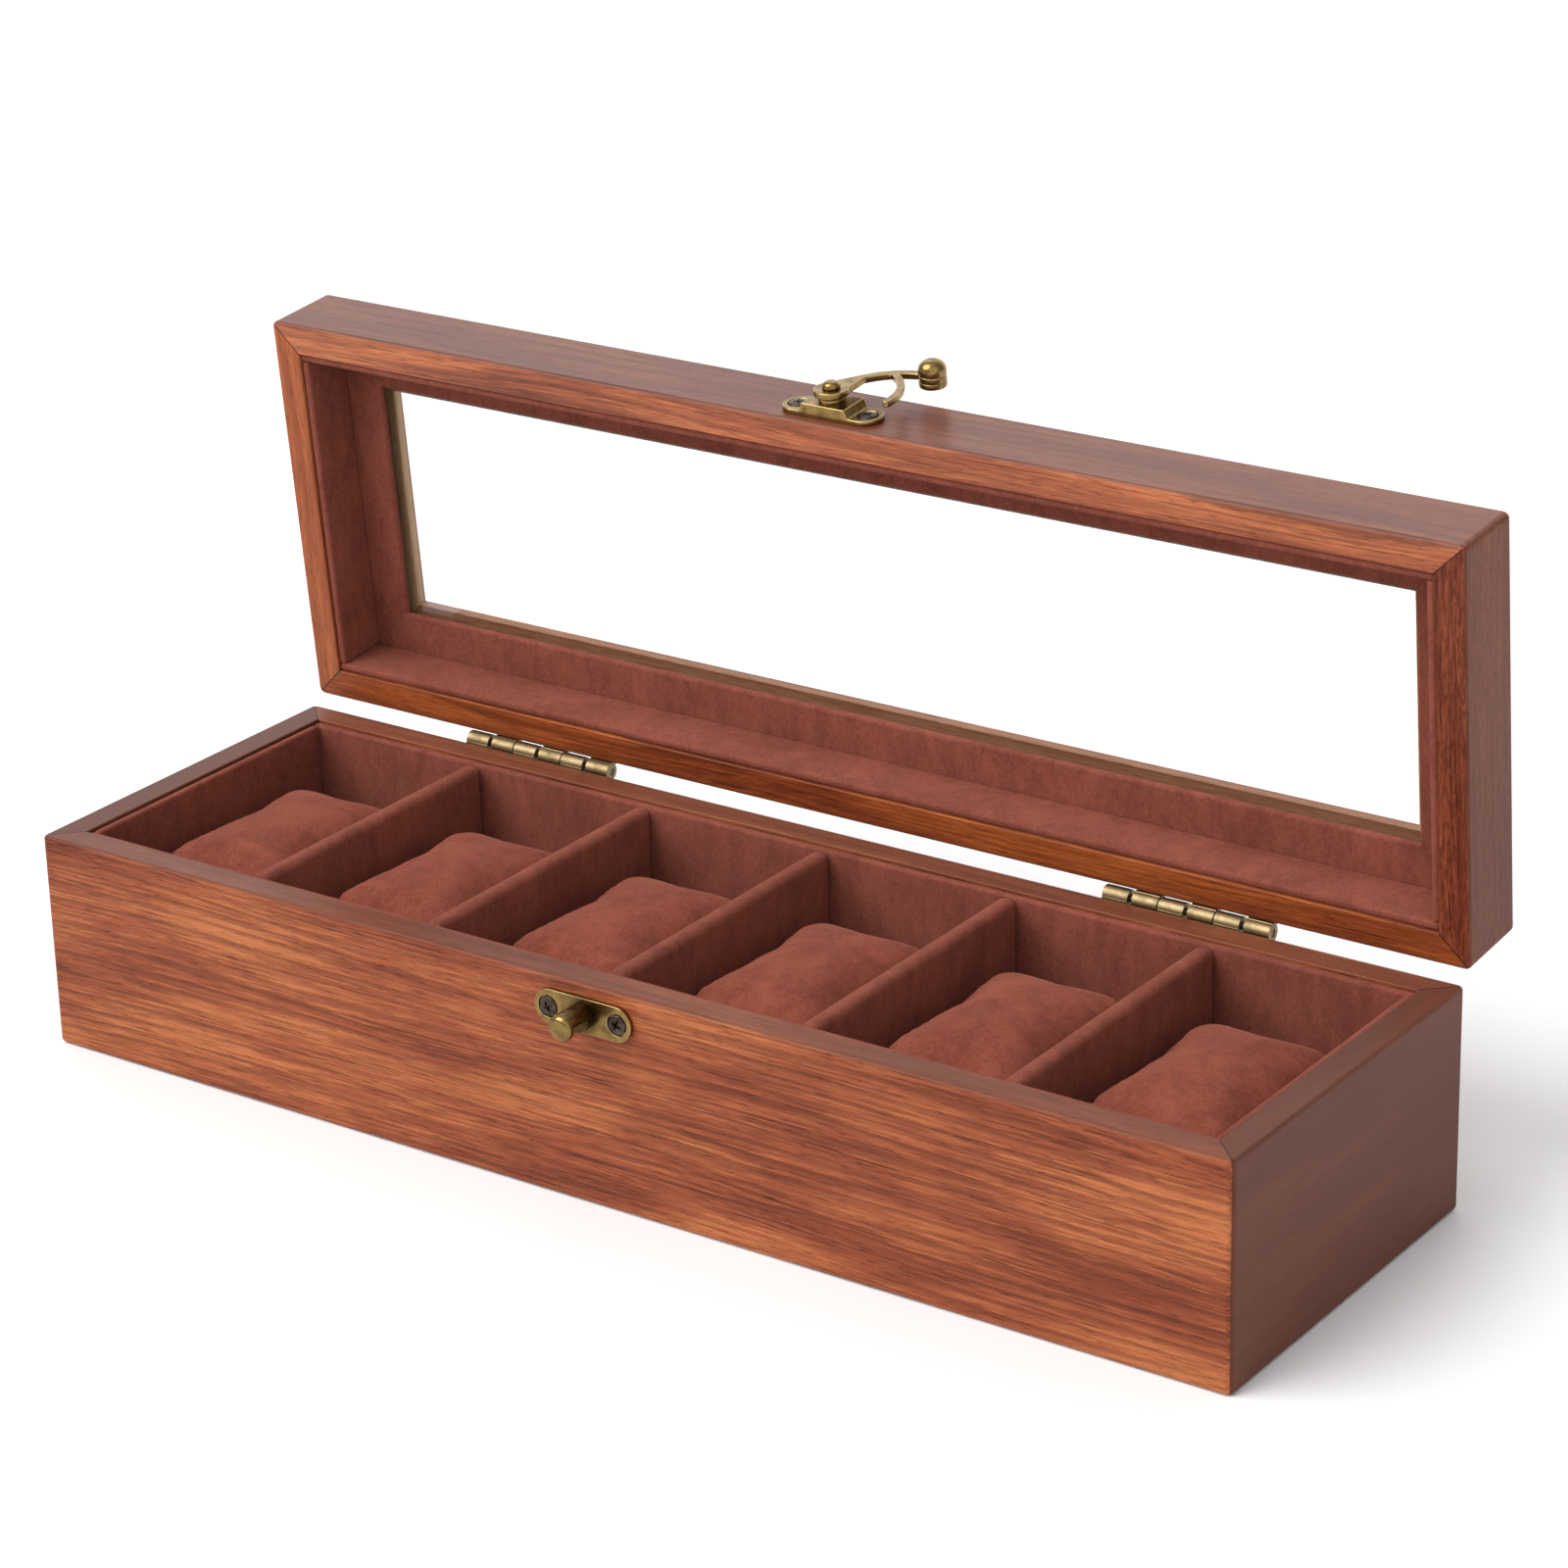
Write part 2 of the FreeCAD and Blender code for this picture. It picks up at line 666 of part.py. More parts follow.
# catch post: a round bar with a notch from below that the hook's finger swings into
ARM_Z = "plate + block_rise + boss_rise + arm_gap"
post = turned("catch_bar", [
    ("0", "plate"),
    ("post_radius", "plate"),
    ("post_radius", "plate + post_length"),
    ("0", "plate + post_length"),
])
crown = amount("plate + post_length")
round_edges(post, lambda edge: level(edge, crown), "post_round")
notch_size = ("4 * post_radius", "2 * post_radius + notch_rise", "notch_width")
notch_corner = ("-2 * post_radius", "-2 * post_radius", "plate + notch_start")
keep(cut("catch_post", post, [box("post_notch", notch_size, notch_corner)]), "catch_post", on_case)

# pivot: a boss with a groove under the eye, and a domed rivet
rivet_top = ARM_Z + " + arm + arm_gap"
rivet = turned("pivot", [
    ("0", "plate + block_rise"),
    ("boss_radius", "plate + block_rise"),
    ("boss_radius", "plate + block_rise + boss_rise - boss_groove"),
    ("boss_radius - boss_groove", "plate + block_rise + boss_rise"),
    ("rivet_radius", "plate + block_rise + boss_rise"),
    ("rivet_radius", rivet_top),
    ("rivet_head_radius", rivet_top),
    ("rivet_head_radius", rivet_top + " + rivet_head"),
    ("0", rivet_top + " + rivet_head"),
])
crown = amount(rivet_top + " + rivet_head")
round_edges(rivet, lambda edge: level(edge, crown), "rivet_head * 0.8")
keep(rivet, "hook_rivet", on_lid)

# hook: the arm is a quarter ring from the pivot to the knob, its finger a ring about the pivot
FINGER = "(rim_gap + hook_rise + catch_drop + finger_clearance)"


def arm_point(offset):
    """Point beside the arm's middle line where the flare ends, off to one side by a formula."""
    radius = "(arm_reach + %s)" % offset
    return "arm_reach - %s * cos(flare_angle * 1deg)" % radius, "%s * sin(flare_angle * 1deg)" % radius


def eye_point(degrees):
    """Point on the eye's rim."""
    return "eye_radius * cos(%ddeg)" % degrees, "eye_radius * sin(%ddeg)" % degrees


flare = new_body("arm_flare")
flare_outline = [eye_point(30), arm_point("-arm_width / 2"), arm_point("arm_width / 2"), eye_point(160), ("0", "0")]
pad(flare, polygon(flare, flare_outline, lift=ARM_Z), "arm")
ring = cut(
    "arm_ring",
    disc("arm_outer", "arm_reach + arm_width / 2", "arm", ("arm_reach", "0", ARM_Z), "90", 90.0),
    [disc("arm_inner", "arm_reach - arm_width / 2", "arm", ("arm_reach", "0", ARM_Z))],
)
finger = cut(
    "finger_ring",
    disc("finger_outer", FINGER + " + finger_width", "arm", ("0", "0", ARM_Z), "finger_sweep", amount("finger_start")),
    [disc("finger_inner", FINGER, "arm", ("0", "0", ARM_Z))],
)
tip_radius = amount(FINGER + " + finger_width / 2")
tip_angle = math.radians(amount("finger_start"))
tip = disc("finger_tip", "finger_width / 2", "arm", ("0", "0", ARM_Z))
tip.Placement = shift(str(tip_radius * math.cos(tip_angle)), str(tip_radius * math.sin(tip_angle)), ARM_Z)
arm_blank = fuse("arm_blank", [
    disc("arm_eye", "eye_radius", "arm", ("0", "0", ARM_Z)),
    disc("arm_end", "knob_radius", "arm", ("arm_reach", "arm_reach", ARM_Z)),
    flare,
    ring,
    finger,
    tip,
])
arm = cut("arm", arm_blank, [
    disc("arm_pivot_hole", "rivet_radius + rivet_clearance", "arm", ("0", "0", ARM_Z)),
    disc("arm_knob_hole", "knob_neck_radius + knob_clearance", "arm", ("arm_reach", "arm_reach", ARM_Z)),
])
keep(arm, "hook_arm", on_lid)

knob = turned("bullet", [
    ("0", ARM_Z + " - knob_low"),
    ("knob_radius", ARM_Z + " - knob_low"),
    ("knob_radius", ARM_Z),
    ("knob_neck_radius", ARM_Z),
    ("knob_neck_radius", ARM_Z + " + arm"),
    ("knob_radius", ARM_Z + " + arm"),
    ("knob_radius", ARM_Z + " + arm + knob_high"),
    ("0", ARM_Z + " + arm + knob_high"),
])
crown = amount(ARM_Z + " + arm + knob_high")
base_of_knob = amount(ARM_Z + " - knob_low")
round_edges(knob, lambda edge: level(edge, crown), "knob_high * 0.7")
round_edges(knob, lambda edge: level(edge, base_of_knob), "knob_low * 0.4")
keep(knob, "hook_knob", on_lid * shift("arm_reach", "arm_reach", "0"))

doc.recompute()
for item in doc.Objects:
    if "Invalid" in item.State or "Error" in item.State:
        raise RuntimeError("not built: " + item.Label)
os.makedirs("parts", exist_ok=True)
for label, item in nodes.items():
    if item.Shape.isNull() or not item.Shape.isValid():
        raise RuntimeError("bad shape: " + label)
    item.Shape.exportStep("parts/%s.step" % label)
    bounds = item.Shape.BoundBox
    print("%-22s solids %d volume %9.1f  x %7.2f..%7.2f  y %7.2f..%7.2f  z %7.2f..%7.2f" % (
        label, len(item.Shape.Solids), item.Shape.Volume, bounds.XMin, bounds.XMax,
        bounds.YMin, bounds.YMax, bounds.ZMin, bounds.ZMax))
print("pieces", len(nodes))
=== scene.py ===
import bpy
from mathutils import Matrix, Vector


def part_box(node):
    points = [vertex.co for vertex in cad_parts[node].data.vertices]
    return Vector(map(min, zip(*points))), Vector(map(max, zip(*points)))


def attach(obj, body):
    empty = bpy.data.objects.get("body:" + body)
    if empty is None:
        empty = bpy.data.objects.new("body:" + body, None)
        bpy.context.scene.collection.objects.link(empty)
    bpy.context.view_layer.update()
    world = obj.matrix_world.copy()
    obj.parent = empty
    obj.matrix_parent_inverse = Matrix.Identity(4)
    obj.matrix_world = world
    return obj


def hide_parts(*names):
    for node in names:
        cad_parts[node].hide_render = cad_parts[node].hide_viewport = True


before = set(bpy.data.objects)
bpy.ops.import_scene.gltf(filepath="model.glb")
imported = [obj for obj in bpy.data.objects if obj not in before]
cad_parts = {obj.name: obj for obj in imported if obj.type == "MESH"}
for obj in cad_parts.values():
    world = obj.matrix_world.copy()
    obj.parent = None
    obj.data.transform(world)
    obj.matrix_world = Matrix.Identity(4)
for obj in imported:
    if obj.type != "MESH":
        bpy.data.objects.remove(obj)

"""Looks of a wooden watch box: lacquered veneer, velvet linings, stuffed cushions, aged brass and glass."""

import logging
import math
from dataclasses import dataclass
from enum import Enum
from typing import ClassVar, Dict, Iterable, List, Sequence, Tuple

import bmesh
import bpy
from mathutils import Matrix, Vector, noise

logging.basicConfig(level=logging.INFO, format="%(name)s: %(message)s")
LOG = logging.getLogger("watch_box")

Colour = Tuple[float, float, float, float]
Point = Tuple[float, float, float]
Range = Tuple[float, float]
Sockets = Sequence[Tuple[str, str]]
Look = Dict[str, object]
MM = 0.001
TO_MM = (1000.0, 1000.0, 1000.0)
TINY = 1e-9
ON_AXIS = 1e-7
WORN_AND_HIGHLIT = "worn"


class Grain(Enum):
    """Direction that a board's grain follows in the closed box."""

    LENGTH = "length"
    DEPTH = "depth"


class Side(Enum):
    """Sides of the box as seen from the catch."""

    FRONT = "front"
    BACK = "back"
    LEFT = "left"
    RIGHT = "right"


class Host(Enum):
    """Bodies that pieces ride on."""

    BASE = "base"
    LID = "lid"
    HOOK = "hook"


class LampKind(Enum):
    """Kinds of light in the studio."""

    SUN = "SUN"
    PANEL = "AREA"


@dataclass(frozen=True)
class BoxSizes:
    """Sizes of the box, in metres and degrees, shared by the pieces of the scene."""

    length: float = 0.320
    depth: float = 0.099
    base_height: float = 0.053
    lid_bottom: float = 0.0532
    lid_top: float = 0.0740
    wall: float = 0.0075
    lining: float = 0.002
    lining_drop: float = 0.0006
    frame_underside: float = 0.0695
    flange: float = 0.002
    flange_border: float = 0.0194
    backlit_raw_border: float = 0.0165
    hinge_y: float = 0.05175
    hinge_z: float = 0.0531
    open_angle: float = 85.0
    hardware_x: float = -0.001
    catch_z: float = 0.046
    hook_z: float = 0.060
    plate: float = 0.0012
    screw_spacing: float = 0.0186
    hinge_centre: float = 0.0905
    leaf_screws: float = 0.028
    leaf_screw_drop: float = 0.0093
    leaf: float = 0.001

    def opened(self) -> Matrix:
        """Turn from the closed lid to the open lid.

        Returns:
            Matrix that carries points of the closed lid to where they rest.
        """
        pins = Matrix.Translation((0.0, self.hinge_y, self.hinge_z))
        return pins @ Matrix.Rotation(-math.radians(self.open_angle), 4, "X") @ pins.inverted()


SIZES = BoxSizes()


def srgb(red: int, green: int, blue: int) -> Colour:
    """Linear colour from screen values.

    Args:
        red: Red from 0 to 255.
        green: Green from 0 to 255.
        blue: Blue from 0 to 255.

    Returns:
        The linear colour with full alpha.
    """
    def linear(value: int) -> float:
        """One channel without the screen's curve."""
        part = value / 255.0
        return part / 12.92 if part <= 0.04045 else ((part + 0.055) / 1.055) ** 2.4

    return linear(red), linear(green), linear(blue), 1.0


@dataclass(frozen=True)
class Layer:
    """One noise: features per unit of length on each axis, octaves, weight of the finer ones and warp."""

    scale: Point
    detail: float
    rough: float
    warp: float = 0.0


class Tree:
    """Builder for one node tree."""

    def __init__(self, tree: bpy.types.NodeTree) -> None:
        """Keep the tree that is built.

        Args:
            tree: Node tree of a material, a world or a group.
        """
        self.tree = tree

    def add(self, kind: str, **inputs: object) -> bpy.types.Node:
        """Add a node and set or link its inputs.

        Args:
            kind: Node type name.
            inputs: Values or sockets by input name, with _ for spaces.

        Returns:
            The new node.
        """
        node = self.tree.nodes.new(kind)
        for name, value in inputs.items():
            self.feed(node, name.replace("_", " "), value)
        return node

    def feed(self, node: bpy.types.Node, name: object, value: object) -> None:
        """Set one input to a number or link a socket to it.

        Args:
            node: Node that takes the value.
            name: Input name or index.
            value: Number, tuple or output socket.
        """
        socket = node.inputs[name]
        if isinstance(value, bpy.types.NodeSocket):
            self.tree.links.new(value, socket)
        else:
            socket.default_value = value

    def math(self, operation: str, first: object, second: object = 0.0, clamp: bool = False) -> bpy.types.NodeSocket:
        """Add a math node.

        Args:
            operation: Name of the operation.
            first: First value or socket.
            second: Second value or socket.
            clamp: Whether the result is held between 0 and 1.

        Returns:
            Output socket.
        """
        node = self.tree.nodes.new("ShaderNodeMath")
        node.operation = operation
        node.use_clamp = clamp
        self.feed(node, 0, first)
        self.feed(node, 1, second)
        return node.outputs[0]

    def vector(self, operation: str, first: object, second: object) -> bpy.types.NodeSocket:
        """Add a vector math node.

        Args:
            operation: Name of the operation.
            first: First vector or socket.
            second: Second vector or socket.

        Returns:
            Output vector socket.
        """
        node = self.tree.nodes.new("ShaderNodeVectorMath")
        node.operation = operation
        self.feed(node, 0, first)
        self.feed(node, 1, second)
        return node.outputs[0]

    def weigh(self, *shares: Tuple[object, float]) -> bpy.types.NodeSocket:
        """Add up values, each times its weight.

        Args:
            shares: Values or sockets with their weights.

        Returns:
            Output socket.
        """
        total, *others = [self.math("MULTIPLY", value, weight) for value, weight in shares]
        for other in others:
            total = self.math("ADD", total, other)
        return total

    def noise(self, place: object, layer: Layer) -> bpy.types.NodeSocket:
        """Add a noise.

        Args:
            place: Coordinates.
            layer: Kind of noise.

        Returns:
            Noise value socket.
        """
        scaled = self.vector("MULTIPLY", place, layer.scale)
        node = self.add("ShaderNodeTexNoise", Vector=scaled, Scale=1.0, Detail=layer.detail, Roughness=layer.rough,
                        Distortion=layer.warp)
        return node.outputs[0]

    def span(self, value: object, low: float, high: float, start: object = 0.0,
             end: object = 1.0) -> bpy.types.NodeSocket:
        """Map a range onto another with smooth ends.

        Args:
            value: Value socket.
            low: Value that maps to start.
            high: Value that maps to end.
            start: Result at low.
            end: Result at high.

        Returns:
            Output socket.
        """
        node = self.tree.nodes.new("ShaderNodeMapRange")
        node.interpolation_type = "SMOOTHSTEP"
        for name, item in zip(("Value", "From Min", "From Max", "To Min", "To Max"), (value, low, high, start, end)):
            self.feed(node, name, item)
        return node.outputs[0]

    def mix(self, factor: object, first: object, second: object, mode: str = "MIX") -> bpy.types.NodeSocket:
        """Mix two colours.

        Args:
            factor: Share of the second colour.
            first: Colour or socket.
            second: Colour or socket.
            mode: Blend mode.

        Returns:
            Colour socket.
        """
        node = self.tree.nodes.new("ShaderNodeMix")
        node.data_type = "RGBA"
        node.blend_type = mode
        self.feed(node, 0, factor)
        self.feed(node, 6, first)
        self.feed(node, 7, second)
        return node.outputs[2]


class ShaderGroups:
    """Shared shader effects, made once each as node groups."""

    made: Dict[str, bpy.types.NodeTree] = {}

    # Noises of the veneer, in features per millimetre along the grain and then across it.
    DRIFT = Layer((0.0045, 0.02, 0.02), 2.0, 0.5)
    CLOUD = Layer((0.012, 0.07, 0.07), 3.0, 0.55)
    FIBRE = Layer((0.06, 1.7, 1.7), 4.0, 0.65)
    WANDER = Layer((0.006, 0.09, 0.09), 3.0, 0.55)
    FADE = Layer((0.009, 0.13, 0.13), 3.0, 0.6)
    THREAD = Layer((0.03, 1.6, 1.6), 3.0, 0.6)
    FLECK = Layer((0.4, 2.2, 2.2), 2.0, 0.5, 0.35)
    PORE = Layer((0.2, 4.0, 4.0), 2.0, 0.6)
    SWAY = 9.0
    RINGS_PER_MM = 0.29
    RING_SLOPE = 0.8
    FLECK_SLANT = 1.3
    PORE_SHADE = (0.4, 0.32, 0.3, 1.0)

    # Noises of the velvet and of the plating, in features per millimetre.
    NAP = Layer((0.07, 0.07, 0.045), 3.0, 0.6, 0.8)
    BRUSH = Layer((0.3, 0.3, 0.1), 2.0, 0.6, 0.5)
    TUFT = Layer((1.3, 1.3, 0.9), 3.0, 0.65)
    HAIR = Layer((5.0, 5.0, 3.5), 2.0, 0.6)
    LINT_SHADE = (1.6, 1.55, 1.55, 1.0)
    PATCH = Layer((0.35, 0.35, 0.35), 3.0, 0.55, 0.3)
    GRIT = Layer((4.5, 4.5, 4.5), 3.0, 0.6)

    # Joinery, in metres: where a mask starts and ends, counted in from an outer face.
    # Reach of the darker outer faces: painted shade on the ends and the lid's sides, a stain on the case's rim.
    SHADE_AND_STAIN = (0.0003, 0.0006)
    MITRE_LINE = (0.0001, 0.00038)
    MITRE_INSET = (0.0002, 0.0009)
    TOP_VENEER = (0.0009, 0.0006)
    BACKLIT_BARE_BLEND = 0.0003

    @classmethod
    def start(cls, name: str, inputs: Sockets, outputs: Sockets) -> Tuple[Tree, bpy.types.Node, bpy.types.Node]:
        """Open a new group with its sockets.

        Args:
            name: Group name.
            inputs: Input names and socket kinds.
            outputs: Output names and socket kinds.

        Returns:
            The tree builder, the input node and the output node.
        """
        group = bpy.data.node_groups.new(name, "ShaderNodeTree")
        for way, sockets in (("INPUT", inputs), ("OUTPUT", outputs)):
            for label, kind in sockets:
                group.interface.new_socket(name=label, in_out=way, socket_type="NodeSocket" + kind)
        cls.made[name] = group
        return Tree(group), group.nodes.new("NodeGroupInput"), group.nodes.new("NodeGroupOutput")

    @classmethod
    def wood(cls) -> bpy.types.NodeTree:
        """Veneer: growth lines, threads and pores along the first axis, in millimetres.

        Returns:
            The node group.
        """
        if "veneer" in cls.made:
            return cls.made["veneer"]
        tree, given, result = cls.start(
            "veneer",
            [("Vector", "Vector"), ("Vein", "Color"), ("Dark", "Color"), ("Middle", "Color"), ("Light", "Color"),
             ("Streaks", "Float"), ("Pores", "Float"), ("Flecks", "Float")],
            [("Color", "Color"), ("Roughness", "Float"), ("Height", "Float")],
        )
        place, vein = given.outputs["Vector"], given.outputs["Vein"]
        # The grain sways sideways along the board.
        sway = tree.math("MULTIPLY", tree.math("SUBTRACT", tree.noise(place, cls.DRIFT), 0.5), cls.SWAY)
        swayed = tree.vector("ADD", place, tree.add("ShaderNodeCombineXYZ", Y=sway, Z=sway).outputs[0])
        parts = tree.add("ShaderNodeSeparateXYZ", Vector=swayed)
        across = tree.math("ADD", parts.outputs[2], tree.math("MULTIPLY", parts.outputs[1], cls.RING_SLOPE))
        # Broad clouds and fine fibres carry the ground from dark to light.
        cloud, fibre = tree.noise(swayed, cls.CLOUD), tree.noise(swayed, cls.FIBRE)
        tone = tree.weigh((cloud, 0.52), (fibre, 0.48))
        shade = tree.mix(tree.span(tone, 0.38, 0.5), given.outputs["Dark"], given.outputs["Middle"])
        shade = tree.mix(tree.span(tone, 0.48, 0.62), shade, given.outputs["Light"])
        # Growth lines darken slowly, end sharply, and come and go.
        wander = tree.noise(swayed, cls.WANDER)
        rings = tree.math("FRACT", tree.weigh((across, cls.RINGS_PER_MM), (wander, 2.8), (fibre, 0.5)))
        line = tree.math("MULTIPLY", tree.span(rings, 0.4, 0.82), tree.span(rings, 0.82, 1.0, 1.0, 0.0))
        line = tree.math("MULTIPLY", line, tree.span(tree.noise(swayed, cls.FADE), 0.36, 0.6, 0.0, 0.85))
        # Threads are stronger in the dark clouds, and the fibres break both kinds of line.
        thread = tree.span(tree.noise(swayed, cls.THREAD), 0.53, 0.63)
        thread = tree.math("MULTIPLY", thread, tree.span(cloud, 0.4, 0.6, 1.0, 0.7))
        broken = tree.math("MULTIPLY", given.outputs["Streaks"], tree.span(fibre, 0.34, 0.56, 0.45, 1.0))
        streak = tree.math("MULTIPLY", tree.math("MAXIMUM", line, thread), broken, True)
        shade = tree.mix(streak, shade, vein)
        # Slanted flecks cross the grain.
        slant = tree.add("ShaderNodeCombineXYZ", X=tree.math("MULTIPLY", across, cls.FLECK_SLANT)).outputs[0]
        fleck = tree.span(tree.noise(tree.vector("ADD", place, slant), cls.FLECK), 0.48, 0.6)
        shade = tree.mix(tree.math("MULTIPLY", fleck, given.outputs["Flecks"]), shade, vein)
        # Pores are short, dark and sunk.
        pores = tree.math("MULTIPLY", tree.span(tree.noise(swayed, cls.PORE), 0.56, 0.68), given.outputs["Pores"])
        dusk = tree.mix(1.0, shade, cls.PORE_SHADE, "MULTIPLY")
        tree.feed(result, "Color", tree.mix(pores, shade, dusk))
        tree.feed(result, "Roughness", tree.math("ADD", tree.weigh((fibre, 0.18), (pores, 0.15)), 0.3))
        tree.feed(result, "Height", tree.math("SUBTRACT", tree.math("MULTIPLY", fibre, 0.3), pores))
        return cls.made["veneer"]

    @classmethod
    def joinery(cls, on_lid: bool) -> bpy.types.NodeTree:
        """Masks of a mitred frame, from the closed box's coordinates in metres.

        The mitre is a thin line at each corner. The shade-and-stain mask is painted shade on the ends and the lid's
        sides, and a stain on the case's rim. Bare wood shows round the window, under the top veneer, painted paler as
        if lit through the glass.

        Args:
            on_lid: Whether the frame is the lid's or the case's.

        Returns:
            The node group.
        """
        name = "lid_joinery" if on_lid else "case_joinery"
        if name in cls.made:
            return cls.made[name]
        tree, given, result = cls.start(
            name, [("Vector", "Vector")], [("Mitre", "Float"), ("Stain", "Float"), ("Bare", "Float")],
        )
        parts = tree.add("ShaderNodeSeparateXYZ", Vector=given.outputs["Vector"])
        ends = tree.math("SUBTRACT", SIZES.length / 2, tree.math("ABSOLUTE", parts.outputs[0]))
        sides = tree.math("SUBTRACT", SIZES.depth / 2, tree.math("ABSOLUTE", parts.outputs[1]))
        inset = tree.math("MINIMUM", ends, sides)
        off = tree.math("ABSOLUTE", tree.math("SUBTRACT", ends, sides))
        line = tree.span(off, *cls.MITRE_LINE, 1.0, 0.0)
        tree.feed(result, "Mitre", tree.math("MULTIPLY", line, tree.span(inset, *cls.MITRE_INSET, 0.15, 0.85)))
        # Painted shade on the ends and on the lid's outer sides; on the case, a darker stain on the rim.
        near, far = cls.SHADE_AND_STAIN
        if on_lid:
            other = tree.span(sides, near, far, 0.95, 0.0)
        else:
            other = tree.span(parts.outputs[2], SIZES.base_height - far, SIZES.base_height - near, 0.0, 0.92)
        tree.feed(result, "Stain", tree.math("MAXIMUM", tree.span(ends, near, far, 1.0, 0.0), other))
        # Bare wood round the window, under the top veneer; its paler colour is painted light from behind the glass.
        low, high = (SIZES.lid_top - depth for depth in cls.TOP_VENEER)
        window = tree.span(inset, SIZES.backlit_raw_border, SIZES.backlit_raw_border + cls.BACKLIT_BARE_BLEND)
        tree.feed(result, "Bare", tree.math("MULTIPLY", window, tree.span(parts.outputs[2], low, high, 1.0, 0.0)))
        return cls.made[name]

    @classmethod
    def pile(cls) -> bpy.types.NodeTree:
        """Velvet pile: brushed patches, short fibres and lint, in millimetres.

        Returns:
            The node group.
        """
        if "pile" in cls.made:
            return cls.made["pile"]
        tree, given, result = cls.start(
            "pile",
            [("Vector", "Vector"), ("Dark", "Color"), ("Light", "Color")],
            [("Color", "Color"), ("Height", "Float")],
        )
        nap, brush, tuft, hair = (
            tree.noise(given.outputs["Vector"], layer) for layer in (cls.NAP, cls.BRUSH, cls.TUFT, cls.HAIR)
        )
        tone = tree.weigh((nap, 0.26), (brush, 0.18), (tuft, 0.28), (hair, 0.28))
        shade = tree.mix(tree.span(tone, 0.38, 0.62), given.outputs["Dark"], given.outputs["Light"])
        pale = tree.mix(1.0, shade, cls.LINT_SHADE, "MULTIPLY")
        tree.feed(result, "Color", tree.mix(tree.span(hair, 0.69, 0.78), shade, pale))
        tree.feed(result, "Height", tree.weigh((tuft, 0.6), (hair, 0.4)))
        return cls.made["pile"]

    @classmethod
    def aged(cls) -> bpy.types.NodeTree:
        """Aged plating: rubbed bright patches over a dark tarnish, in millimetres.

        Returns:
            The node group.
        """
        if "aged" in cls.made:
            return cls.made["aged"]
        tree, given, result = cls.start(
            "aged",
            [("Vector", "Vector"), ("Dark", "Color"), ("Bright", "Color"), ("Tarnish", "Float")],
            [("Color", "Color"), ("Roughness", "Float"), ("Height", "Float")],
        )
        place = given.outputs["Vector"]
        grit = tree.noise(place, cls.GRIT)
        wear = tree.weigh((tree.noise(place, cls.PATCH), 0.6), (grit, 0.4))
        wear = tree.span(tree.math("SUBTRACT", wear, given.outputs["Tarnish"]), -0.22, 0.16)
        tree.feed(result, "Color", tree.mix(wear, given.outputs["Dark"], given.outputs["Bright"]))
        tree.feed(result, "Roughness", tree.math("SUBTRACT", 0.44, tree.math("MULTIPLY", wear, 0.16)))
        tree.feed(result, "Height", grit)
        return cls.made["aged"]

    @classmethod
    def rubbed(cls) -> bpy.types.NodeTree:
        """Edge wear and painted highlight: rubbed, lit edges, uneven along their length.

        Returns:
            The node group.
        """
        if "rubbed" in cls.made:
            return cls.made["rubbed"]
        tree, given, result = cls.start(
            "rubbed", [("Edge", "Float"), ("Patches", "Float"), ("Strength", "Float")], [("Wear", "Float")],
        )
        most = given.outputs["Strength"]
        share = tree.span(given.outputs["Patches"], 0.3, 0.6, tree.math("MULTIPLY", most, 0.35), most)
        tree.feed(result, "Wear", tree.math("MULTIPLY", given.outputs["Edge"], share))
        return cls.made["rubbed"]


